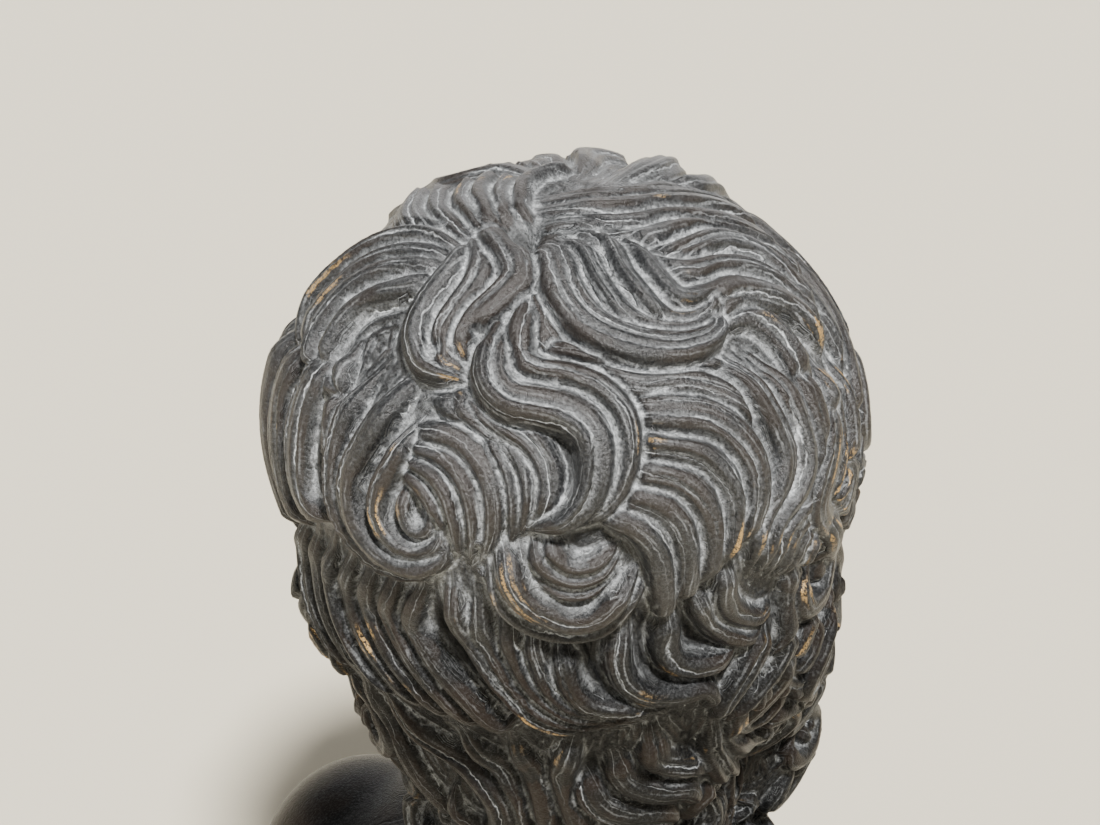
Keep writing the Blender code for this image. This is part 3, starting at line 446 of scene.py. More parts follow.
# Sheaves of locks on the back of the head, from the crown down. Each is how far it stands over its
# neighbours, the width of a lock, how many locks there are, and the turns and rises that the first
# and the last of them pass through. The locks between them are spread evenly.
SHEAVES = (
    # Over the crown to the left, and the fan under it
    (0.5, 15, 6,
     ((168, 73), (155, 74), (142, 76), (122, 78), (95, 80), (60, 81), (30, 80)),
     ((158, 61), (148, 60.5), (138, 60), (126, 59.5), (112, 59.8), (98, 60), (84, 59))),
    (-0.8, 14, 5,
     ((132, 72), (122, 70), (110, 66), (99, 60), (91, 53), (86, 45)),
     ((95, 82), (82, 78), (72, 72), (66, 65), (64, 57), (66, 48))),
    (1.0, 11, 4,
     ((163, 61), (150, 60.5), (140, 59), (133, 56), (128, 51.5), (126, 46), (125, 41), (126, 36),
      (129, 31)),
     ((162, 56), (158, 53), (153, 50.5), (148, 47.5), (145, 43.5), (145, 39), (146, 35),
      (150, 32.3), (157, 32))),
    # Over the crown and down the right
    (1.0, 15, 4,
     ((165, 80), (185, 81), (215, 80.5), (245, 79.5), (270, 77.5), (290, 74), (305, 69), (314, 61),
      (318, 52)),
     ((200, 71), (208, 70.5), (224, 67.8), (237, 67.7), (252, 68), (266, 65.5), (280, 60),
      (285, 54), (284, 45))),
    (1.5, 15, 3,
     ((213, 70), (219, 66.5), (226, 63.5), (236, 62.2), (250, 63), (263, 62.5), (273, 58),
      (275, 53), (274, 49), (277, 41)),
     ((212, 70), (218, 68), (223, 64), (226.5, 58), (231, 54), (241, 53.5), (250, 53.7),
      (260, 50.5), (266, 46), (270, 37))),
    (1.0, 13, 1,
     ((235, 50.5), (243, 51), (250, 50), (254, 46.5), (256, 42), (257, 34), (260, 30), (267, 29.5)),
     ()),
    (1.5, 16, 2,
     ((316, 62), (308, 54), (300, 46), (292, 38), (285, 30), (282, 22)),
     ((298, 54), (293, 47), (288, 40), (282, 34), (276, 29), (273, 23))),
    # Hooks to the right of the whorl and to the left of it
    (2.0, 16, 3,
     ((206, 71), (209.5, 68.7), (213, 65), (215, 61), (218, 57.5), (221.5, 53.4), (226, 50.4),
      (233, 50), (239, 51.5), (243.5, 55)),
     ((183, 66), (187, 65.6), (193, 64.5), (197, 60.5), (201, 56), (207, 51.4), (216, 48.2),
      (227, 46.8), (236.5, 48), (242.5, 52))),
    (2.0, 13, 3,
     ((160, 63), (163, 62), (165, 61), (165.7, 57), (165.3, 52.5), (165.5, 48.5), (167.5, 44.5),
      (173, 41.2), (181.5, 40.9)),
     ((161, 67), (168, 66), (175.5, 64.3), (182.3, 61.6), (185.3, 58.5), (183, 54.5), (179.5, 50.5),
      (178.5, 46), (181, 43.5))),
    (0.5, 14, 1,
     ((181, 66), (184, 63.5), (188, 60.5), (191.5, 57), (194, 53), (196.2, 49.5), (201, 47.2),
      (209, 46)),
     ()),
    (0.5, 13, 2,
     ((197, 47.5), (202, 46.5), (209, 45.7), (217, 45), (224, 45.3), (231, 45), (237, 43)),
     ((207, 44.5), (212, 42.6), (218, 41.6), (224, 41.6), (231, 40), (237, 36.5), (240, 32))),
    # The great S and the locks that lie in its lap
    (3.0, 12, 1,
     ((188.5, 57.5), (190.5, 54), (190.5, 48.5), (192, 45), (196, 43.4), (202, 43), (208.4, 41.2),
      (212.4, 37.6), (213, 32.5), (210.8, 27), (206, 22.7), (199, 20.3)),
     ()),
    (3.5, 16, 1,
     ((186, 51.5), (186, 46.5), (187.3, 42), (191.3, 39.3), (197, 38.8), (202.4, 38), (206.3, 35.8),
      (207.8, 32), (206.8, 26.5), (202.8, 22.3), (196.5, 20)),
     ()),
    (1.0, 11, 3,
     ((177, 37), (180.5, 36.6), (184.5, 35.8), (188.8, 33.9), (191.8, 31), (193.6, 27.7),
      (194.4, 24.3), (194.3, 20.4), (193.5, 17)),
     ((183, 39.5), (187, 37.6), (191, 35.8), (195.6, 33.9), (198.8, 31), (200, 28), (199.8, 25),
      (198.5, 22.3), (196, 20.3))),
    # Cascade to the right of the S, and the sheaf beyond it
    (2.0, 14, 5,
     ((208, 23.5), (211, 23.3), (214, 22.2), (216.3, 20.3), (218, 17.7), (219, 14.5), (219.6, 11),
      (219.6, 7), (219, 3)),
     ((211, 38.5), (217, 37.8), (223, 37.1), (229, 35.7), (233.5, 32.5), (236.3, 28), (236.5, 23),
      (235, 19), (233, 14))),
    (1.0, 12, 6,
     ((281, 33), (279, 26), (275, 18), (270, 12.5), (265, 10.5), (259, 10.4), (254, 11), (250.5, 9),
      (250, 4.5), (250, -1)),
     ((238, 43), (241, 39), (243, 34), (244.4, 29), (244, 25.5), (242, 22.5), (239.5, 20.3),
      (237.5, 17.5), (236.5, 13), (236.5, 8))),
    # Arches to the left of the middle
    (1.0, 8.5, 4,
     ((173, 25.5), (175.5, 25.3), (177.5, 24.3), (179.3, 22.8), (180.5, 21.2), (181.4, 19.5),
      (182.2, 17.5), (183, 14)),
     ((173, 31.5), (179.5, 32.3), (184, 31.6), (187.5, 29.5), (190, 26), (190.8, 21.5),
      (190.3, 17.5), (188.5, 12))),
    # The spiral, from its outer ring in
    (1.5, 8, 1,
     ((161, 38), (159.5, 33), (158.5, 28), (158.5, 22.5), (159.5, 17), (162, 12.5), (166, 9.3),
      (171, 7.3), (176.5, 7.2), (181, 9)),
     ()),
    (2.5, 12, 1,
     ((170, 39), (167.8, 33), (165.4, 27.5), (163.6, 22.5), (164, 17.8), (166, 14), (169.5, 11.3),
      (174, 10), (179, 10.6), (182.5, 13.2), (182.6, 16.6)),
     ()),
    (2.0, 9, 1,
     ((174, 32), (172, 26.5), (170.3, 22.3), (170, 18.8), (171.2, 15.9), (173.8, 13.8), (177, 13.2),
      (180, 14.2), (181.6, 16.4), (180.6, 19)),
     ()),
    (1.0, 7, 1,
     ((174.5, 22), (174.8, 19), (176.6, 16.6), (179, 16.8), (179.8, 18.6), (178.4, 20.4)),
     ()),
    # The bowl under the great S, from its rim in
    (1.5, 8, 1,
     ((190.3, 15), (191.2, 10.7), (193, 6), (197, 2.4), (203.5, 0.5), (209.5, 2), (213, 6),
      (215.8, 9.5), (217, 12.5)),
     ()),
    (2.5, 13, 1,
     ((192.5, 16), (194, 12.4), (196, 9), (199.4, 6.4), (203.5, 4.6), (207.5, 5.2), (210.5, 7.7),
      (213, 11), (215, 14)),
     ()),
    (1.5, 7, 3,
     ((195.5, 16), (196.7, 13), (199.3, 11), (203.3, 9.6), (207, 10), (209.8, 11.5), (212.2, 14)),
     ((200.5, 18.5), (201, 17.3), (202.6, 15.7), (205, 14.8), (208, 15.5), (210, 16.8), (211.5, 17.8))),
    # Left edge of the back
    (1.0, 15, 4,
     ((112, 30), (112, 20), (116, 9), (121, -1), (128, -7)),
     ((147, 36), (146, 27), (147, 19), (150, 12.5), (157, 10.5))),
    (0.5, 9, 1,
     ((152, 38), (154, 31), (156, 25), (157.4, 20.4), (159, 16)),
     ()),
    # Long strands down to the nape
    (1.5, 10, 7,
     ((144, 4), (142, -4), (144, -12), (149, -18), (155, -21), (159, -19)),
     ((177, 5), (174, -3), (178, -10), (185, -17), (191, -23), (194, -20))),
    (1.5, 9.5, 5,
     ((183, 8), (184, 0), (188, -8), (193, -14), (198, -19), (204, -22), (210, -22)),
     ((202, -3), (203, -7), (204.5, -11.5), (208, -14.8), (213, -16), (219.5, -16), (223.5, -20))),
    (2.0, 11, 1,
     ((213, 1), (212.5, -5), (214, -10), (218.5, -13.3), (224, -14), (229, -14), (231.5, -17),
      (230.5, -21)),
     ()),
    (1.5, 12, 1,
     ((221, 3), (221, -3), (222.5, -7), (226.5, -9), (231, -9.3), (236.5, -8.5)),
     ()),
    (1.0, 11, 2,
     ((226, 6), (228.5, 1.5), (231.5, -2.7), (235, -5.5), (239, -7), (244, -7)),
     ((231, 10), (231.5, 5), (234, 0.5), (237.5, -2.6), (241, -4), (246, -3))),
    (1.0, 12, 2,
     ((249, 4), (250, -4), (250, -11), (247, -17)),
     ((262, 5), (262, -4), (260, -11), (256, -17))),
    (1.0, 11, 2,
     ((243, -8), (240, -13), (236, -19), (234, -25)),
     ((252, -12), (249, -18), (243, -24), (239, -29))),
    (1.0, 14, 2,
     ((297, 30), (292, 18), (285, 8), (277, 0), (270, -6)),
     ((286, 22), (281, 12), (274, 4), (267, -2), (262, -5))),
    # Nape
    (1.0, 14, 1,
     ((150, -30), (151, -38), (156, -46), (161, -54), (163, -62)),
     ()),
    (1.5, 14, 1,
     ((160, -28), (168, -34), (178, -40), (185, -47), (185, -55), (178, -59), (170, -55), (171, -49)),
     ()),
    (1.0, 12, 3,
     ((180, -30), (188, -38), (191, -46), (191, -55), (193, -63)),
     ((205, -27), (203, -36), (205, -44), (208, -52), (214, -58))),
    (1.5, 13, 3,
     ((208, -38), (212, -45), (221, -49), (231, -51), (238, -56)),
     ((222, -27), (225, -34), (232, -38), (239, -40), (245, -46))),
    (1.5, 12, 4,
     ((237, -28), (241, -38), (248, -46), (258, -51), (270, -52), (281, -49)),
     ((252, -17), (254, -22), (258, -27), (265, -31), (272, -32), (278, -28))),
)


# Hollows sunk between the locks: turn, rise, reach and depth
HOLLOWS = (
    (175, 70.5, 5.0, 6.0),
    (178, 68.5, 5.0, 6.5),
    (182, 67, 3.5, 4.5),
    (181.5, 48, 3.0, 5.0),
    (214, 69.7, 2.5, 4.0),
    (173, 44, 3.0, 4.0),
)


def spread(start, stop, count):
    """Even steps from start to stop."""
    return [start + (stop - start) * i / (count - 1) for i in range(count)]


def sheaf_locks():
    """The locks of every sheaf, spread between its first and its last."""
    locks = []
    for level, width, count, first, last in SHEAVES:
        for share in spread(0.0, 1.0, count) if last else [0.0]:
            ends = zip(first, last or first)
            stations = tuple((a[0] + (b[0] - a[0]) * share, a[1] + (b[1] - a[1]) * share)
                             for a, b in ends)
            locks.append((level, width, stations))
    return locks


# The way a curl goes: its turns to one hand and its drops, as shares of its reach
CURL_WAY = ((0.35, 0.5), (0.6, 0.85), (0.35, 1.15), (-0.1, 1.12), (-0.22, 0.8), (0.08, 0.66))


def curl(around, rise, hand, reach, width, level):
    """A lock that drops from a place and winds up on itself to one hand."""
    stations = [(around, rise)]
    for turn, drop in CURL_WAY:
        stations.append((around + hand * reach * turn, rise - reach * drop))
    return level, width, tuple(stations)


def front_locks(chance):
    """Locks that sweep forward from the crown and curl over the forehead."""
    locks = []
    for around in spread(-84.0, 78.0, 9):
        hand = 1 if around > 0 else -1
        turn = around + chance.uniform(-3.0, 3.0)
        low = 40.0 - abs(around) * 0.12
        locks.append((chance.uniform(0.0, 1.0), 20.0, (
            (turn * 0.8 + hand * 30, 82.0), (turn * 0.8 + hand * 18, 73.0), (turn + hand * 9, 64.0),
            (turn - hand * 4, 54.0), (turn - hand * 2, low + 5.0), (turn + hand * 6, low))))
    for place, around in enumerate(spread(-72.0, 72.0, 12)):
        hand = 1 if place % 2 else -1
        high = 49.0 - abs(around) * 0.2
        locks.append(curl(around + chance.uniform(-2.0, 2.0), high, hand, 17.0, 12.0, 1.5))
    return locks


def side_locks(chance):
    """Curls that hang before and over the ears."""
    locks = []
    for side in (-1, 1):
        for row, rise in enumerate((31.0, 12.0, -5.0)):
            for place, around in enumerate((64.0, 80.0, 96.0)):
                hand = 1 if (place + row) % 2 else -1
                turn = side * (around + 6.0 * (row % 2)) + chance.uniform(-2.0, 2.0)
                locks.append(curl(turn, rise, hand, 18.0, 13.0, 1.0 + 0.5 * (row % 2)))
    return locks


def low_locks(chance):
    """Curls behind the figure's left ear, and a row along the foot of the nape."""
    locks = []
    for row, rise in enumerate((-14.0, -31.0, -47.0)):
        for place, around in enumerate((112.0, 127.0, 141.0)):
            hand = 1 if (place + row) % 2 else -1
            locks.append(curl(around + chance.uniform(-2.0, 2.0), rise, hand, 15.0, 12.0, 1.0))
    for place, around in enumerate(spread(142.0, 226.0, 7)):
        hand = 1 if place % 2 else -1
        locks.append(curl(around + chance.uniform(-2.0, 2.0), -60.0, hand, 13.0, 11.0, 0.5))
    return locks


# Rows of the beard: their rise, the first and the last turn, and how many curls to a side
BEARD_ROWS = (
    (-19.0, 58.0, 104.0, 3),
    (-29.0, 42.0, 106.0, 5),
    (-41.0, 24.0, 108.0, 6),
    (-53.0, 8.0, 108.0, 7),
    (-64.0, 9.0, 84.0, 6),
    (-76.0, 10.0, 56.0, 4),
)


def beard_locks(chance):
    """Rows of curls from the cheeks to the foot of the beard, turned away from the middle."""
    locks = []
    for row, (rise, inner, outer, count) in enumerate(BEARD_ROWS):
        for side in (-1, 1):
            for place, around in enumerate(spread(inner, outer, count)):
                turn = side * (around + chance.uniform(-2.0, 2.0))
                hand = side if place % 3 else -side
                locks.append(curl(turn, rise, hand, 15.0, 12.0, 1.5 - 0.2 * row))
    return locks


def smooth_run(points, step):
    """A smooth curve through the points, in even steps."""
    padded = [points[0] * 2 - points[1], *points, points[-1] * 2 - points[-2]]
    run = []
    for a, b, c, d in zip(padded, padded[1:], padded[2:], padded[3:]):
        count = max(2, int((c - b).length / step))
        for i in range(count):
            t = i / count
            run.append(0.5 * (b * 2 + (c - a) * t + (a * 2 - b * 5 + c * 4 - d) * t * t
                              + (b * 3 - a - c * 3 + d) * t ** 3))
    run.append(points[-1])
    return run


class Lock:
    """One lock on the skin: its middle line, its half width and the edges of its strands."""

    def __init__(self, skin, row, chance):
        self.level, width, stations = row
        points = [skin.spot(*station) for station in stations]
        points.insert(0, points[0] + (points[0] - points[1]).normalized() * ROOT_REACH)
        run = smooth_run(points, RUN_STEP)
        seats = [skin.settle(point) for point in run]
        self.places = np.array([place for place, _ in seats])
        outs = np.array([out for _, out in seats])
        self.ahead = np.gradient(self.places, axis=0)
        sides = np.cross(outs, self.ahead)
        self.sides = sides / (np.linalg.norm(sides, axis=1)[:, None] + 1e-9)
        t = np.linspace(0.0, 1.0, len(run))
        self.half = 0.5 * width * np.minimum(0.4 + 2.6 * t, 1.0) * np.maximum(1.0 - t ** 5, 0.03) ** 0.7
        count = max(2, round(width / STRAND_WIDTH))
        shares = np.array([chance.uniform(*STRAND_SHARES) for _ in range(count)])
        self.edges = np.concatenate([[-1.0], -1.0 + 2.0 * np.cumsum(shares) / shares.sum()])
        self.edges[-1] = 1.0
        self.lifts = np.array([chance.uniform(*STRAND_LIFTS) for _ in range(count)])
        inner = [chance.uniform(*GROOVE_CUTS) for _ in range(count - 1)]
        self.cuts = np.array([1.0, *inner, 1.0])
        self.phase = chance.uniform(0.0, 6.28)

    def near(self, spots):
        """Which spots the lock, or the plain hair beside it, can reach."""
        reach = self.half.max() + FILL_REACH
        low = self.places.min(axis=0) - reach
        high = self.places.max(axis=0) + reach
        return np.flatnonzero(np.all((spots > low) & (spots < high), axis=1))

    def lay(self, spots):
        """How far along the lock spots lie, how far across it, and how far past its ends."""
        gaps = (self.places ** 2).sum(axis=1) - 2.0 * spots @ self.places.T
        i = gaps.argmin(axis=1)
        ahead = self.ahead[i]
        shift = ((spots - self.places[i]) * ahead).sum(axis=1) / (ahead ** 2).sum(axis=1)
        last = len(self.places) - 1
        f = np.clip(i + shift, 0.0, last)
        j = np.minimum(f.astype(int), last - 1)
        part = (f - j)[:, None]
        place = self.places[j] + (self.places[j + 1] - self.places[j]) * part
        side = self.sides[j] + (self.sides[j + 1] - self.sides[j]) * part
        offset = spots - place
        across = (offset * side).sum(axis=1)
        span = np.sqrt(np.maximum((offset ** 2).sum(axis=1) - across ** 2, 0.0))
        beyond = np.where((f <= 0.0) | (f >= last), span, 0.0)
        half = np.interp(f, np.arange(last + 1), self.half)
        return f / last, across, half, beyond

    def body(self, along, across, half, beyond):
        """Height of the lock, a crowned bundle of rounded strands, the strands counted across, and how
        deep the nearest groove is cut."""
        u = np.clip(across / half, -1.0, 1.0)
        sway = 0.07 * np.sin(7.0 * along + self.phase) + 0.035 * np.sin(19.0 * along + 2.3 * self.phase)
        w = np.clip(u + sway * (1.0 - u * u), -1.0, 1.0)
        k = np.clip(np.searchsorted(self.edges, w) - 1, 0, len(self.lifts) - 1)
        low, high = self.edges[k], self.edges[k + 1]
        v = (2.0 * w - low - high) / (high - low)
        edge = np.where(v < 0.0, k, k + 1)
        cut = self.cuts[edge] * (0.8 + 0.3 * np.sin(6.0 * along + 2.1 * edge + self.phase))
        groove = cut * np.minimum(0.4 * (high - low) * half, GROOVE_DEPTH)
        ridge = -groove * np.abs(v) ** 2.6
        grown = 0.1 + 0.9 * eased_step(along, 0.0, 0.22)
        crown = RELIEF * (1.0 - 0.55 * np.abs(u) ** 2.4)
        lift = (self.level * LEVEL_HEIGHT + self.lifts[k]) * (1.0 - u ** 4)
        narrow = np.minimum(half / 4.0, 1.0)
        height = (crown + lift) * grown * narrow + ridge - 0.8 * beyond
        return np.where(np.abs(across) < half, height, -np.inf), k + 0.5 * (v + 1.0), cut

    def dig(self, along, across, half):
        """How deep the lock presses what lies under it, and the ground along its two edges."""
        wide = np.abs(across)
        depth = DIG * eased_step(1.0 - wide / half, 0.0, 0.45)
        depth += MOAT_DEPTH * (1.0 - eased_step((wide - half) / MOAT_WIDTH, 0.0, 1.0))
        return depth * eased_step(along, 0.04, 0.25) * eased_step(1.0 - along, 0.0, 0.12)

    def beside(self, across, half, beyond):
        """Height of the plain strands beside the lock, how far off they are, and their count."""
        gap = np.maximum(np.abs(across) - half, 0.0)
        strand = np.where(across > 0.0, len(self.lifts), 0.0) + np.sign(across) * gap / FILL_STRAND
        v = 2.0 * np.mod(strand, 1.0) - 1.0
        ridge = -FILL_GROOVE * np.abs(v) ** 2.2
        return 0.6 - 0.16 * gap - 0.35 * beyond + ridge, gap + beyond, strand


def bare(spots):
    """1 where no plain hair grows: the face, the mouth, the neck's foot and the shoulders."""
    x, y, z = spots.T
    turn = np.degrees(np.abs(np.arctan2(x, HEAD_MIDDLE.y - y)))
    face = eased_step(FACE_TURN - turn, 0.0, 6.0) * eased_step(z, *FACE_FOOT)
    face *= eased_step(FACE_TOP - z, 0.0, 8.0)
    mouth = eased_step(MOUTH_HALF - np.abs(x), 0.0, 6.0) * eased_step(z, *MOUTH_FOOT)
    mouth *= (z < FACE_FOOT[1]) * (y < 0.0)
    foot = eased_step(NECK_FOOT - z, 0.0, 22.0)
    return np.maximum(np.maximum(face, mouth), foot)


def carve(spots, locks):
    """Height of the hair over each spot, how far across its lock the spot lies, its strand counted
    across the lock, and how deep the groove by that strand is cut."""
    count = len(spots)
    body, fill = np.full(count, -np.inf), np.full(count, -np.inf)
    thread, fill_thread = np.zeros(count), np.zeros(count)
    strand, fill_strand = np.zeros(count), np.zeros(count)
    cut = np.zeros(count)
    fade = np.zeros(count)
    for lock in sorted(locks, key=lambda lock: lock.level):
        near = lock.near(spots)
        along, across, half, beyond = lock.lay(spots[near])
        height, gap, steps = lock.beside(across, half, beyond)
        better = (height > fill[near]) & (gap < FILL_REACH)
        fill[near[better]] = height[better]
        fill_thread[near[better]] = across[better]
        fill_strand[near[better]] = steps[better]
        fade[near[better]] = 1.0 - eased_step(gap[better], 0.6 * FILL_REACH, FILL_REACH)
        on = (np.abs(across) < half + MOAT_WIDTH) & (beyond < END_REACH)
        near, along, across, half, beyond = near[on], along[on], across[on], half[on], beyond[on]
        height, steps, cuts = lock.body(along, across, half, beyond)
        dug = body[near] - lock.dig(along, across, half)
        over = height > dug
        thread[near] = np.where(over, across, thread[near])
        strand[near] = np.where(over, steps, strand[near])
        cut[near] = np.where(over, cuts, cut[near])
        body[near] = np.maximum(height, dug)
    fill = np.where(np.isfinite(fill), fill, 0.0) * fade * (1.0 - bare(spots))
    on = body > fill
    return (np.where(on, body, fill), np.where(on, thread, fill_thread),
            np.where(on, strand, fill_strand), np.where(on, cut, FILL_CUT))


def lay_hair(mesh, skin, locks):
    """Raise the skin into the carved hair."""
    spots = corners(mesh)
    ends = links(mesh)
    out = eased(normals(mesh), ends, RAISE_PASSES)
    out /= np.linalg.norm(out, axis=1)[:, None]
    height = calmed(carve(spots, locks)[0], ends)
    for around, rise, reach, depth in HOLLOWS:
        gap = np.linalg.norm(spots - np.array(skin.spot(around, rise)), axis=1)
        height -= depth * np.exp(-(gap / reach) ** 2)
    height *= eased_step(spots[:, 2], *HAIR_FOOT)
    move_corners(mesh, eased(spots + out * height[:, None], ends, 1))


def moustache(face):
    """Two locks from under the nose, out and down over the corners of the mouth."""
    strands = []
    for hand in (-1, 1):
        for step in range(4):
            t = np.linspace(0.0, 1.0, 16)
            across = hand * (2.0 + (31.0 + 1.5 * step) * t)
            down = 240.5 - 2.9 * step - 3.0 * t - 19.0 * t ** 2.2 + 1.4 * step * t
            deep = [face.front(x, z) - MOUSTACHE_RISE for x, z in zip(across, down)]
            radii = 2.5 * (0.8 + 0.6 * t) * np.sqrt(1.02 - t ** 2)
            strands.append((np.column_stack([across, deep, down]), radii))
    return strands


def eyebrows(face):
    """Short strands that lie on the brow and lean outward over each eye."""
    strands = []
    for hand in (-1, 1):
        for place in spread(0.0, 1.0, 12):
            t = np.linspace(0.0, 1.0, 7)
            across = hand * (8.0 + 36.0 * place + 8.0 * t)
            arch = 303.0 + 6.5 * math.sin(math.pi * (0.15 + 0.75 * place))
            up = arch + (4.5 - 5.0 * place) * t - 2.5 * t ** 2
            deep = [face.front(x, z) + BROW_SINK for x, z in zip(across, up)]
            strands.append((np.column_stack([across, deep, up]), 2.1 * np.sqrt(1.05 - t ** 2)))
    return strands


def hair(skin):
    """All the locks of the hair and beard."""
    chance = random.Random(11)
    rows = sheaf_locks()
    for grow in (front_locks, side_locks, low_locks, beard_locks):
        rows += grow(chance)
    return [Lock(skin, row, chance) for row in rows]


def cut_flat(mesh):
    """Slice the bust level at its underside, close the cut and centre it on the frame."""
    bm = bmesh.new()
    bm.from_mesh(mesh)
    everything = bm.verts[:] + bm.edges[:] + bm.faces[:]
    cut = bmesh.ops.bisect_plane(bm, geom=everything, dist=1e-6, plane_co=(0, 0, 0),
                                 plane_no=(0, 0, 1), clear_inner=True)
    rim = [part for part in cut["geom_cut"] if isinstance(part, bmesh.types.BMEdge)]
    bmesh.ops.contextual_create(bm, geom=rim)
    bmesh.ops.triangulate(bm, faces=[face for face in bm.faces if len(face.verts) > 3])
    low = Vector([min(vert.co[k] for vert in bm.verts) for k in range(3)])
    high = Vector([max(vert.co[k] for vert in bm.verts) for k in range(3)])
    middle = (low + high - CAD_BOX[0] - CAD_BOX[1]) * 0.5
    bm.transform(Matrix.Translation((-middle.x, -middle.y, 0.0)))
    bmesh.ops.recalc_face_normals(bm, faces=bm.faces[:])
    bm.to_mesh(mesh)
    bm.free()


def lighten(mesh, wanted):
    """The same form with no more faces than wanted."""
    mesh.calc_loop_triangles()
    share = wanted / len(mesh.loop_triangles)
    holder = put("lighten", mesh)
    fewer = holder.modifiers.new("fewer", "DECIMATE")
    fewer.ratio = min(share, 1.0)
    return settled(holder)


def mark(mesh, name, values):
    """Keep one number for each corner, for the material to read."""
    layer = mesh.attributes.new(name, "FLOAT", "POINT")
    layer.data.foreach_set("value", np.asarray(values, np.float32))


def mark_hair(mesh, skin, locks):
    """Where each corner lies across its lock and its strands, so that fine lines can follow them."""
    feet = np.array([skin.settle(point)[0] for point in corners(mesh)])
    height, thread, strand, cut = carve(feet, locks)
    mark(mesh, "thread", thread)
    mark(mesh, "strand", strand)
    mark(mesh, "hair", np.where(np.abs(height) > 0.0, cut, 0.0))


def mark_relief(mesh):
    """How far each corner stands over, or lies under, the form about it, at two scales."""
    spots = corners(mesh)
    ends = links(mesh)
    out = normals(mesh)
    near = eased(spots, ends, NEAR_PASSES)
    wide = eased(near, ends, WIDE_PASSES)
    mark(mesh, "fine_relief", np.einsum("ij,ij->i", spots - near, out))
    mark(mesh, "broad_relief", np.einsum("ij,ij->i", near - wide, out))


class Nodes:
    """Short names for building a material."""

    def __init__(self, material):
        material.use_nodes = True
        self.tree = material.node_tree
        self.shader = self.tree.nodes["Principled BSDF"]

    def add(self, kind, **settings):
        """A node with its settings."""
        node = self.tree.nodes.new(kind)
        for name, value in settings.items():
            setattr(node, name, value)
        return node

    def join(self, source, socket):
        """Lead an output, a number or a colour to a socket."""
        if isinstance(source, tuple):
            socket.default_value = (*source, 1.0)
        elif isinstance(source, (int, float)):
            socket.default_value = source
        else:
            self.tree.links.new(source, socket)

    def attribute(self, name):
        """One of the numbers kept for each corner."""
        return self.add("ShaderNodeAttribute", attribute_name=name).outputs["Fac"]

    def ramp(self, value, low, high, to_low=0.0, to_high=1.0):
        """A value slid smoothly from one range to another."""
        node = self.add("ShaderNodeMapRange", interpolation_type="SMOOTHSTEP")
        names = ("Value", "From Min", "From Max", "To Min", "To Max")
        for name, source in zip(names, (value, low, high, to_low, to_high)):
            self.join(source, node.inputs[name])
        return node.outputs["Result"]

    def noise(self, place, scale, detail=4.0, roughness=0.6):
        """Cloudy noise from 0 to 1."""
        node = self.add("ShaderNodeTexNoise")
        self.join(place, node.inputs["Vector"])
        node.inputs["Scale"].default_value = scale
        node.inputs["Detail"].default_value = detail
        node.inputs["Roughness"].default_value = roughness
        return node.outputs["Fac"]

    def calc(self, operation, *values):
        """A sum, product or other reckoning of one or two values."""
        node = self.add("ShaderNodeMath", operation=operation)
        for value, socket in zip(values, node.inputs):
            self.join(value, socket)
        return node.outputs[0]

    def plus(self, a, b):
        return self.calc("ADD", a, b)

    def times(self, a, b):
        return self.calc("MULTIPLY", a, b)

    def height(self, vector):
        """The upward part of a place or direction."""
        node = self.add("ShaderNodeSeparateXYZ")
        self.join(vector, node.inputs[0])
        return node.outputs["Z"]

    def mix(self, share, first, second):
        """Two colours mixed by a share."""
        node = self.add("ShaderNodeMix", data_type="RGBA")
        self.join(share, node.inputs["Factor"])
        colours = [socket for socket in node.inputs if socket.type == "RGBA"]
        for value, socket in zip((first, second), colours):
            self.join(value, socket)
        return [socket for socket in node.outputs if socket.type == "RGBA"][0]


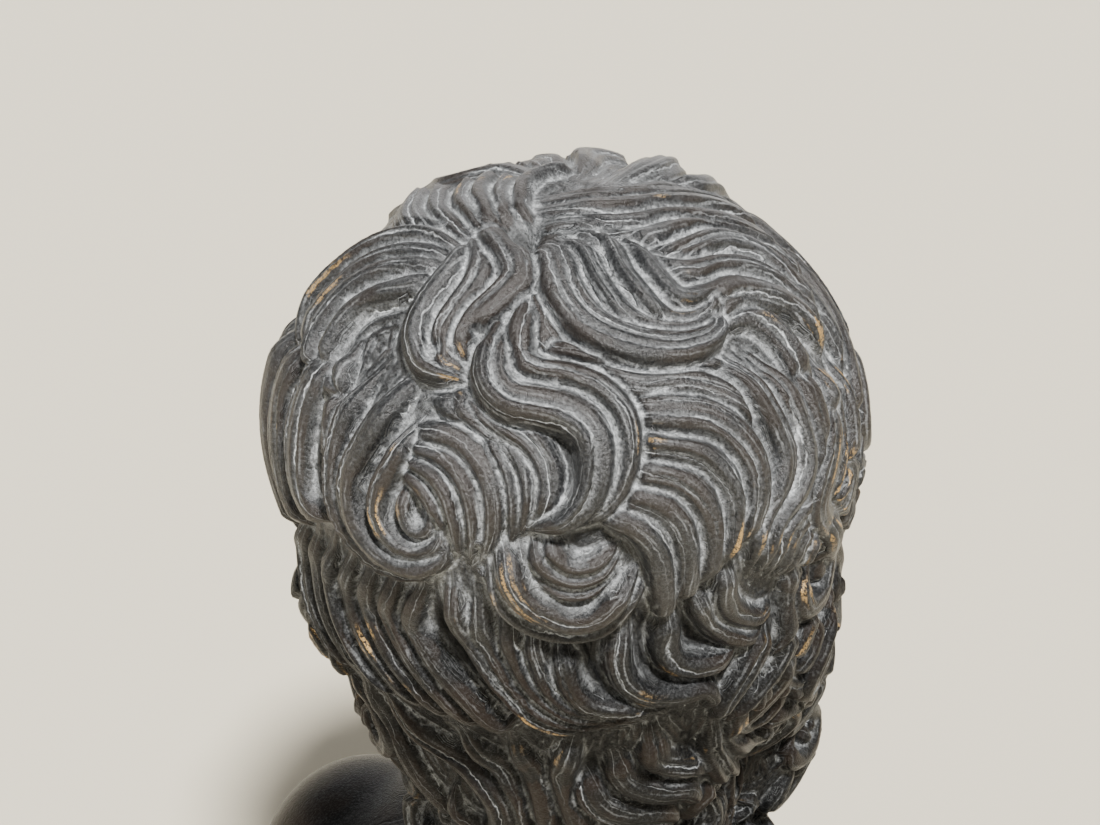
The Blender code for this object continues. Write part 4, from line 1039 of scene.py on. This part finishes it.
def bronze():
    """Dark cast bronze: pale dust in the grooves, brown rubbed ridges, a few bright glints, and painted
    shade deep between the locks and low on the bust.
    """
    material = bpy.data.materials.new("patinated bronze")
    n = Nodes(material)
    place = n.add("ShaderNodeTexCoord").outputs["Object"]
    thread = n.attribute("thread")
    strand = n.attribute("strand")
    hair = n.attribute("hair")
    lofty = n.ramp(n.height(place), DUST_AND_SHADE_FROM, DUST_AND_SHADE_TO)
    facing = n.height(n.add("ShaderNodeNewGeometry").outputs["Normal"])
    upward = n.ramp(facing, -0.3, 1.0)
    cloud = n.noise(place, 45.0)
    speck = n.noise(place, 850.0, 3.0, 0.8)
    ridge = n.plus(n.attribute("fine_relief"), n.times(n.calc("SUBTRACT", cloud, 0.5), 0.3))
    # Fine lines that run with the strands
    drift = n.times(n.noise(place, 40.0, 3.0), 7.0)
    comb = n.calc("SINE", n.plus(n.times(thread, 2.3), drift))
    line = n.times(n.ramp(comb, 0.6, 0.98), n.ramp(n.noise(place, 55.0, 2.0), 0.45, 0.65))
    # The grooves between strands
    wander = n.times(n.calc("SUBTRACT", n.noise(place, 180.0, 2.0), 0.5), 0.5)
    across = n.calc("FRACT", n.plus(strand, wander))
    seam = n.times(n.calc("ABSOLUTE", n.calc("SUBTRACT", across, 0.5)), 2.0)
    seam = n.times(n.ramp(seam, 0.86, 1.0), hair)
    # Dust: a film on what lies low in the relief or faces up, and thick in creases and grooves
    film = n.plus(n.times(upward, 0.045), n.ramp(cloud, 0.42, 0.7, 0.05, 0.12))
    film = n.times(film, n.ramp(ridge, 0.18, -0.34, 0.22, 1.1))
    # The dust thins towards the bottom of the bust: partly real dust, partly painted shade
    film = n.times(film, n.plus(n.times(lofty, 0.84), 0.16))
    crease = n.plus(n.times(n.ramp(ridge, -0.28, -0.85), 0.30), n.times(line, 0.18))
    broken = n.ramp(n.noise(place, 42.0, 3.0), 0.34, 0.64, 0.08, 0.82)
    crease = n.plus(crease, n.times(seam, broken))
    # In the creases too the dust thins lower down, partly as painted shade
    crease = n.times(crease, n.plus(n.times(lofty, 0.45), 0.55))
    dusty = n.plus(film, crease)
    rough = n.times(n.calc("SUBTRACT", speck, 0.5), 7.5)
    dusty = n.plus(dusty, n.times(rough, n.plus(n.times(dusty, 0.5), 0.028)))
    # Painted shade deep between the locks, brown where hands rub, and glints of bare metal
    pit = n.ramp(n.attribute("broad_relief"), -1.0, -3.0)
    worn = n.times(n.ramp(ridge, 0.10, 0.30), n.ramp(n.noise(place, 30.0, 3.0), 0.40, 0.62))
    glint = n.times(n.ramp(ridge, 0.34, 0.52), n.ramp(n.noise(place, 26.0, 2.0), 0.60, 0.70))
    glint = n.times(glint, n.times(n.ramp(comb, -0.3, 0.5), n.ramp(speck, 0.42, 0.56)))
    glint = n.times(glint, n.ramp(hair, 0.0, 0.2))
    # Painted shade: the bare metal is darkened towards black low on the bust
    metal = n.mix(n.ramp(lofty, 0.0, 1.0, 0.6, 0.0), CHARCOAL, SHADE_BLACK)
    colour = n.mix(dusty, metal, DUST)
    colour = n.mix(n.times(worn, 0.45), colour, RUBBED)
    colour = n.mix(n.times(pit, 0.8), colour, SHADE_BLACK)
    colour = n.mix(glint, colour, COPPER)
    n.join(colour, n.shader.inputs["Base Color"])
    n.join(n.ramp(dusty, 0.0, 0.4, 0.34, 0.8), n.shader.inputs["Roughness"])
    n.join(n.times(glint, 0.9), n.shader.inputs["Metallic"])
    n.join(n.ramp(lofty, 0.0, 1.0, 0.12, 0.45), n.shader.inputs["Specular IOR Level"])
    bump = n.add("ShaderNodeBump")
    n.join(0.8, bump.inputs["Strength"])
    n.join(BUMP_DEPTH, bump.inputs["Distance"])
    relief = n.plus(n.times(comb, -0.3), n.times(seam, -0.9))
    n.join(n.plus(speck, n.times(relief, hair)), bump.inputs["Height"])
    n.join(bump.outputs["Normal"], n.shader.inputs["Normal"])
    return material


def bust():
    """The whole casting, in place of the frame's plain solid."""
    under = fuse(masses(), BASE_GRAIN, BASE_PASSES)
    skin = Skin(under)
    press_face(under)
    locks = hair(skin)
    face = Skin(under)
    strands = rolls(moustache(face) + eyebrows(face))
    canvas = fuse([under, *features(face), strands], CANVAS_GRAIN, 1)
    lay_hair(canvas, skin, locks)
    light = lighten(canvas, FACE_COUNT)
    mark_hair(light, skin, locks)
    cut_flat(light)
    mark_relief(light)
    light.materials.append(bronze())
    light.shade_smooth()
    piece = put("carved_bust", light)
    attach(piece, "root")
    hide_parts("bust")


def floor():
    """A plain pale floor."""
    bm = bmesh.new()
    bmesh.ops.create_grid(bm, x_segments=1, y_segments=1, size=FLOOR_HALF)
    mesh = bpy.data.meshes.new("floor")
    bm.to_mesh(mesh)
    bm.free()
    material = bpy.data.materials.new("pale floor")
    n = Nodes(material)
    n.join(FLOOR_COLOUR, n.shader.inputs["Base Color"])
    n.join(0.9, n.shader.inputs["Roughness"])
    mesh.materials.append(material)
    put("floor", mesh)


def lamp(kind, name, place, size, strength, colour):
    """A soft lamp that looks at the bust; a sun's size is its angle."""
    light = bpy.data.lights.new(name, kind)
    if kind == "SUN":
        light.angle = size
    else:
        light.size = size
    light.energy = strength
    light.color = colour
    holder = put(name, light)
    holder.location = place
    way = Vector(LIT_POINT) - Vector(place)
    holder.rotation_euler = way.to_track_quat("-Z", "Y").to_euler()


def studio():
    """A key light from above, a weak wide one on the face, a small fill and a pale surround."""
    world = bpy.data.worlds.new("studio")
    world.use_nodes = True
    background = world.node_tree.nodes["Background"]
    background.inputs["Color"].default_value = (*WORLD_COLOUR, 1.0)
    background.inputs["Strength"].default_value = WORLD_STRENGTH
    bpy.context.scene.world = world
    for row in LAMPS:
        lamp(*row)


def camera():
    """The photograph's view: from behind, the figure's right and a little above."""
    turn, rise = math.radians(CAMERA_TURN), math.radians(CAMERA_RISE)
    back = Vector((math.sin(turn) * math.cos(rise), -math.cos(turn) * math.cos(rise), math.sin(rise)))
    data = bpy.data.cameras.new("camera")
    data.lens = LENS
    data.sensor_width = SENSOR_WIDTH
    holder = put("camera", data)
    holder.location = Vector(CAMERA_TARGET) + back * CAMERA_DISTANCE
    aim = (-back).to_track_quat("-Z", "Y").to_matrix()
    roll = Matrix.Rotation(math.radians(CAMERA_ROLL), 3, "Z")
    holder.rotation_euler = (aim @ roll).to_euler()
    bpy.context.scene.camera = holder


camera()
studio()
floor()
bust()
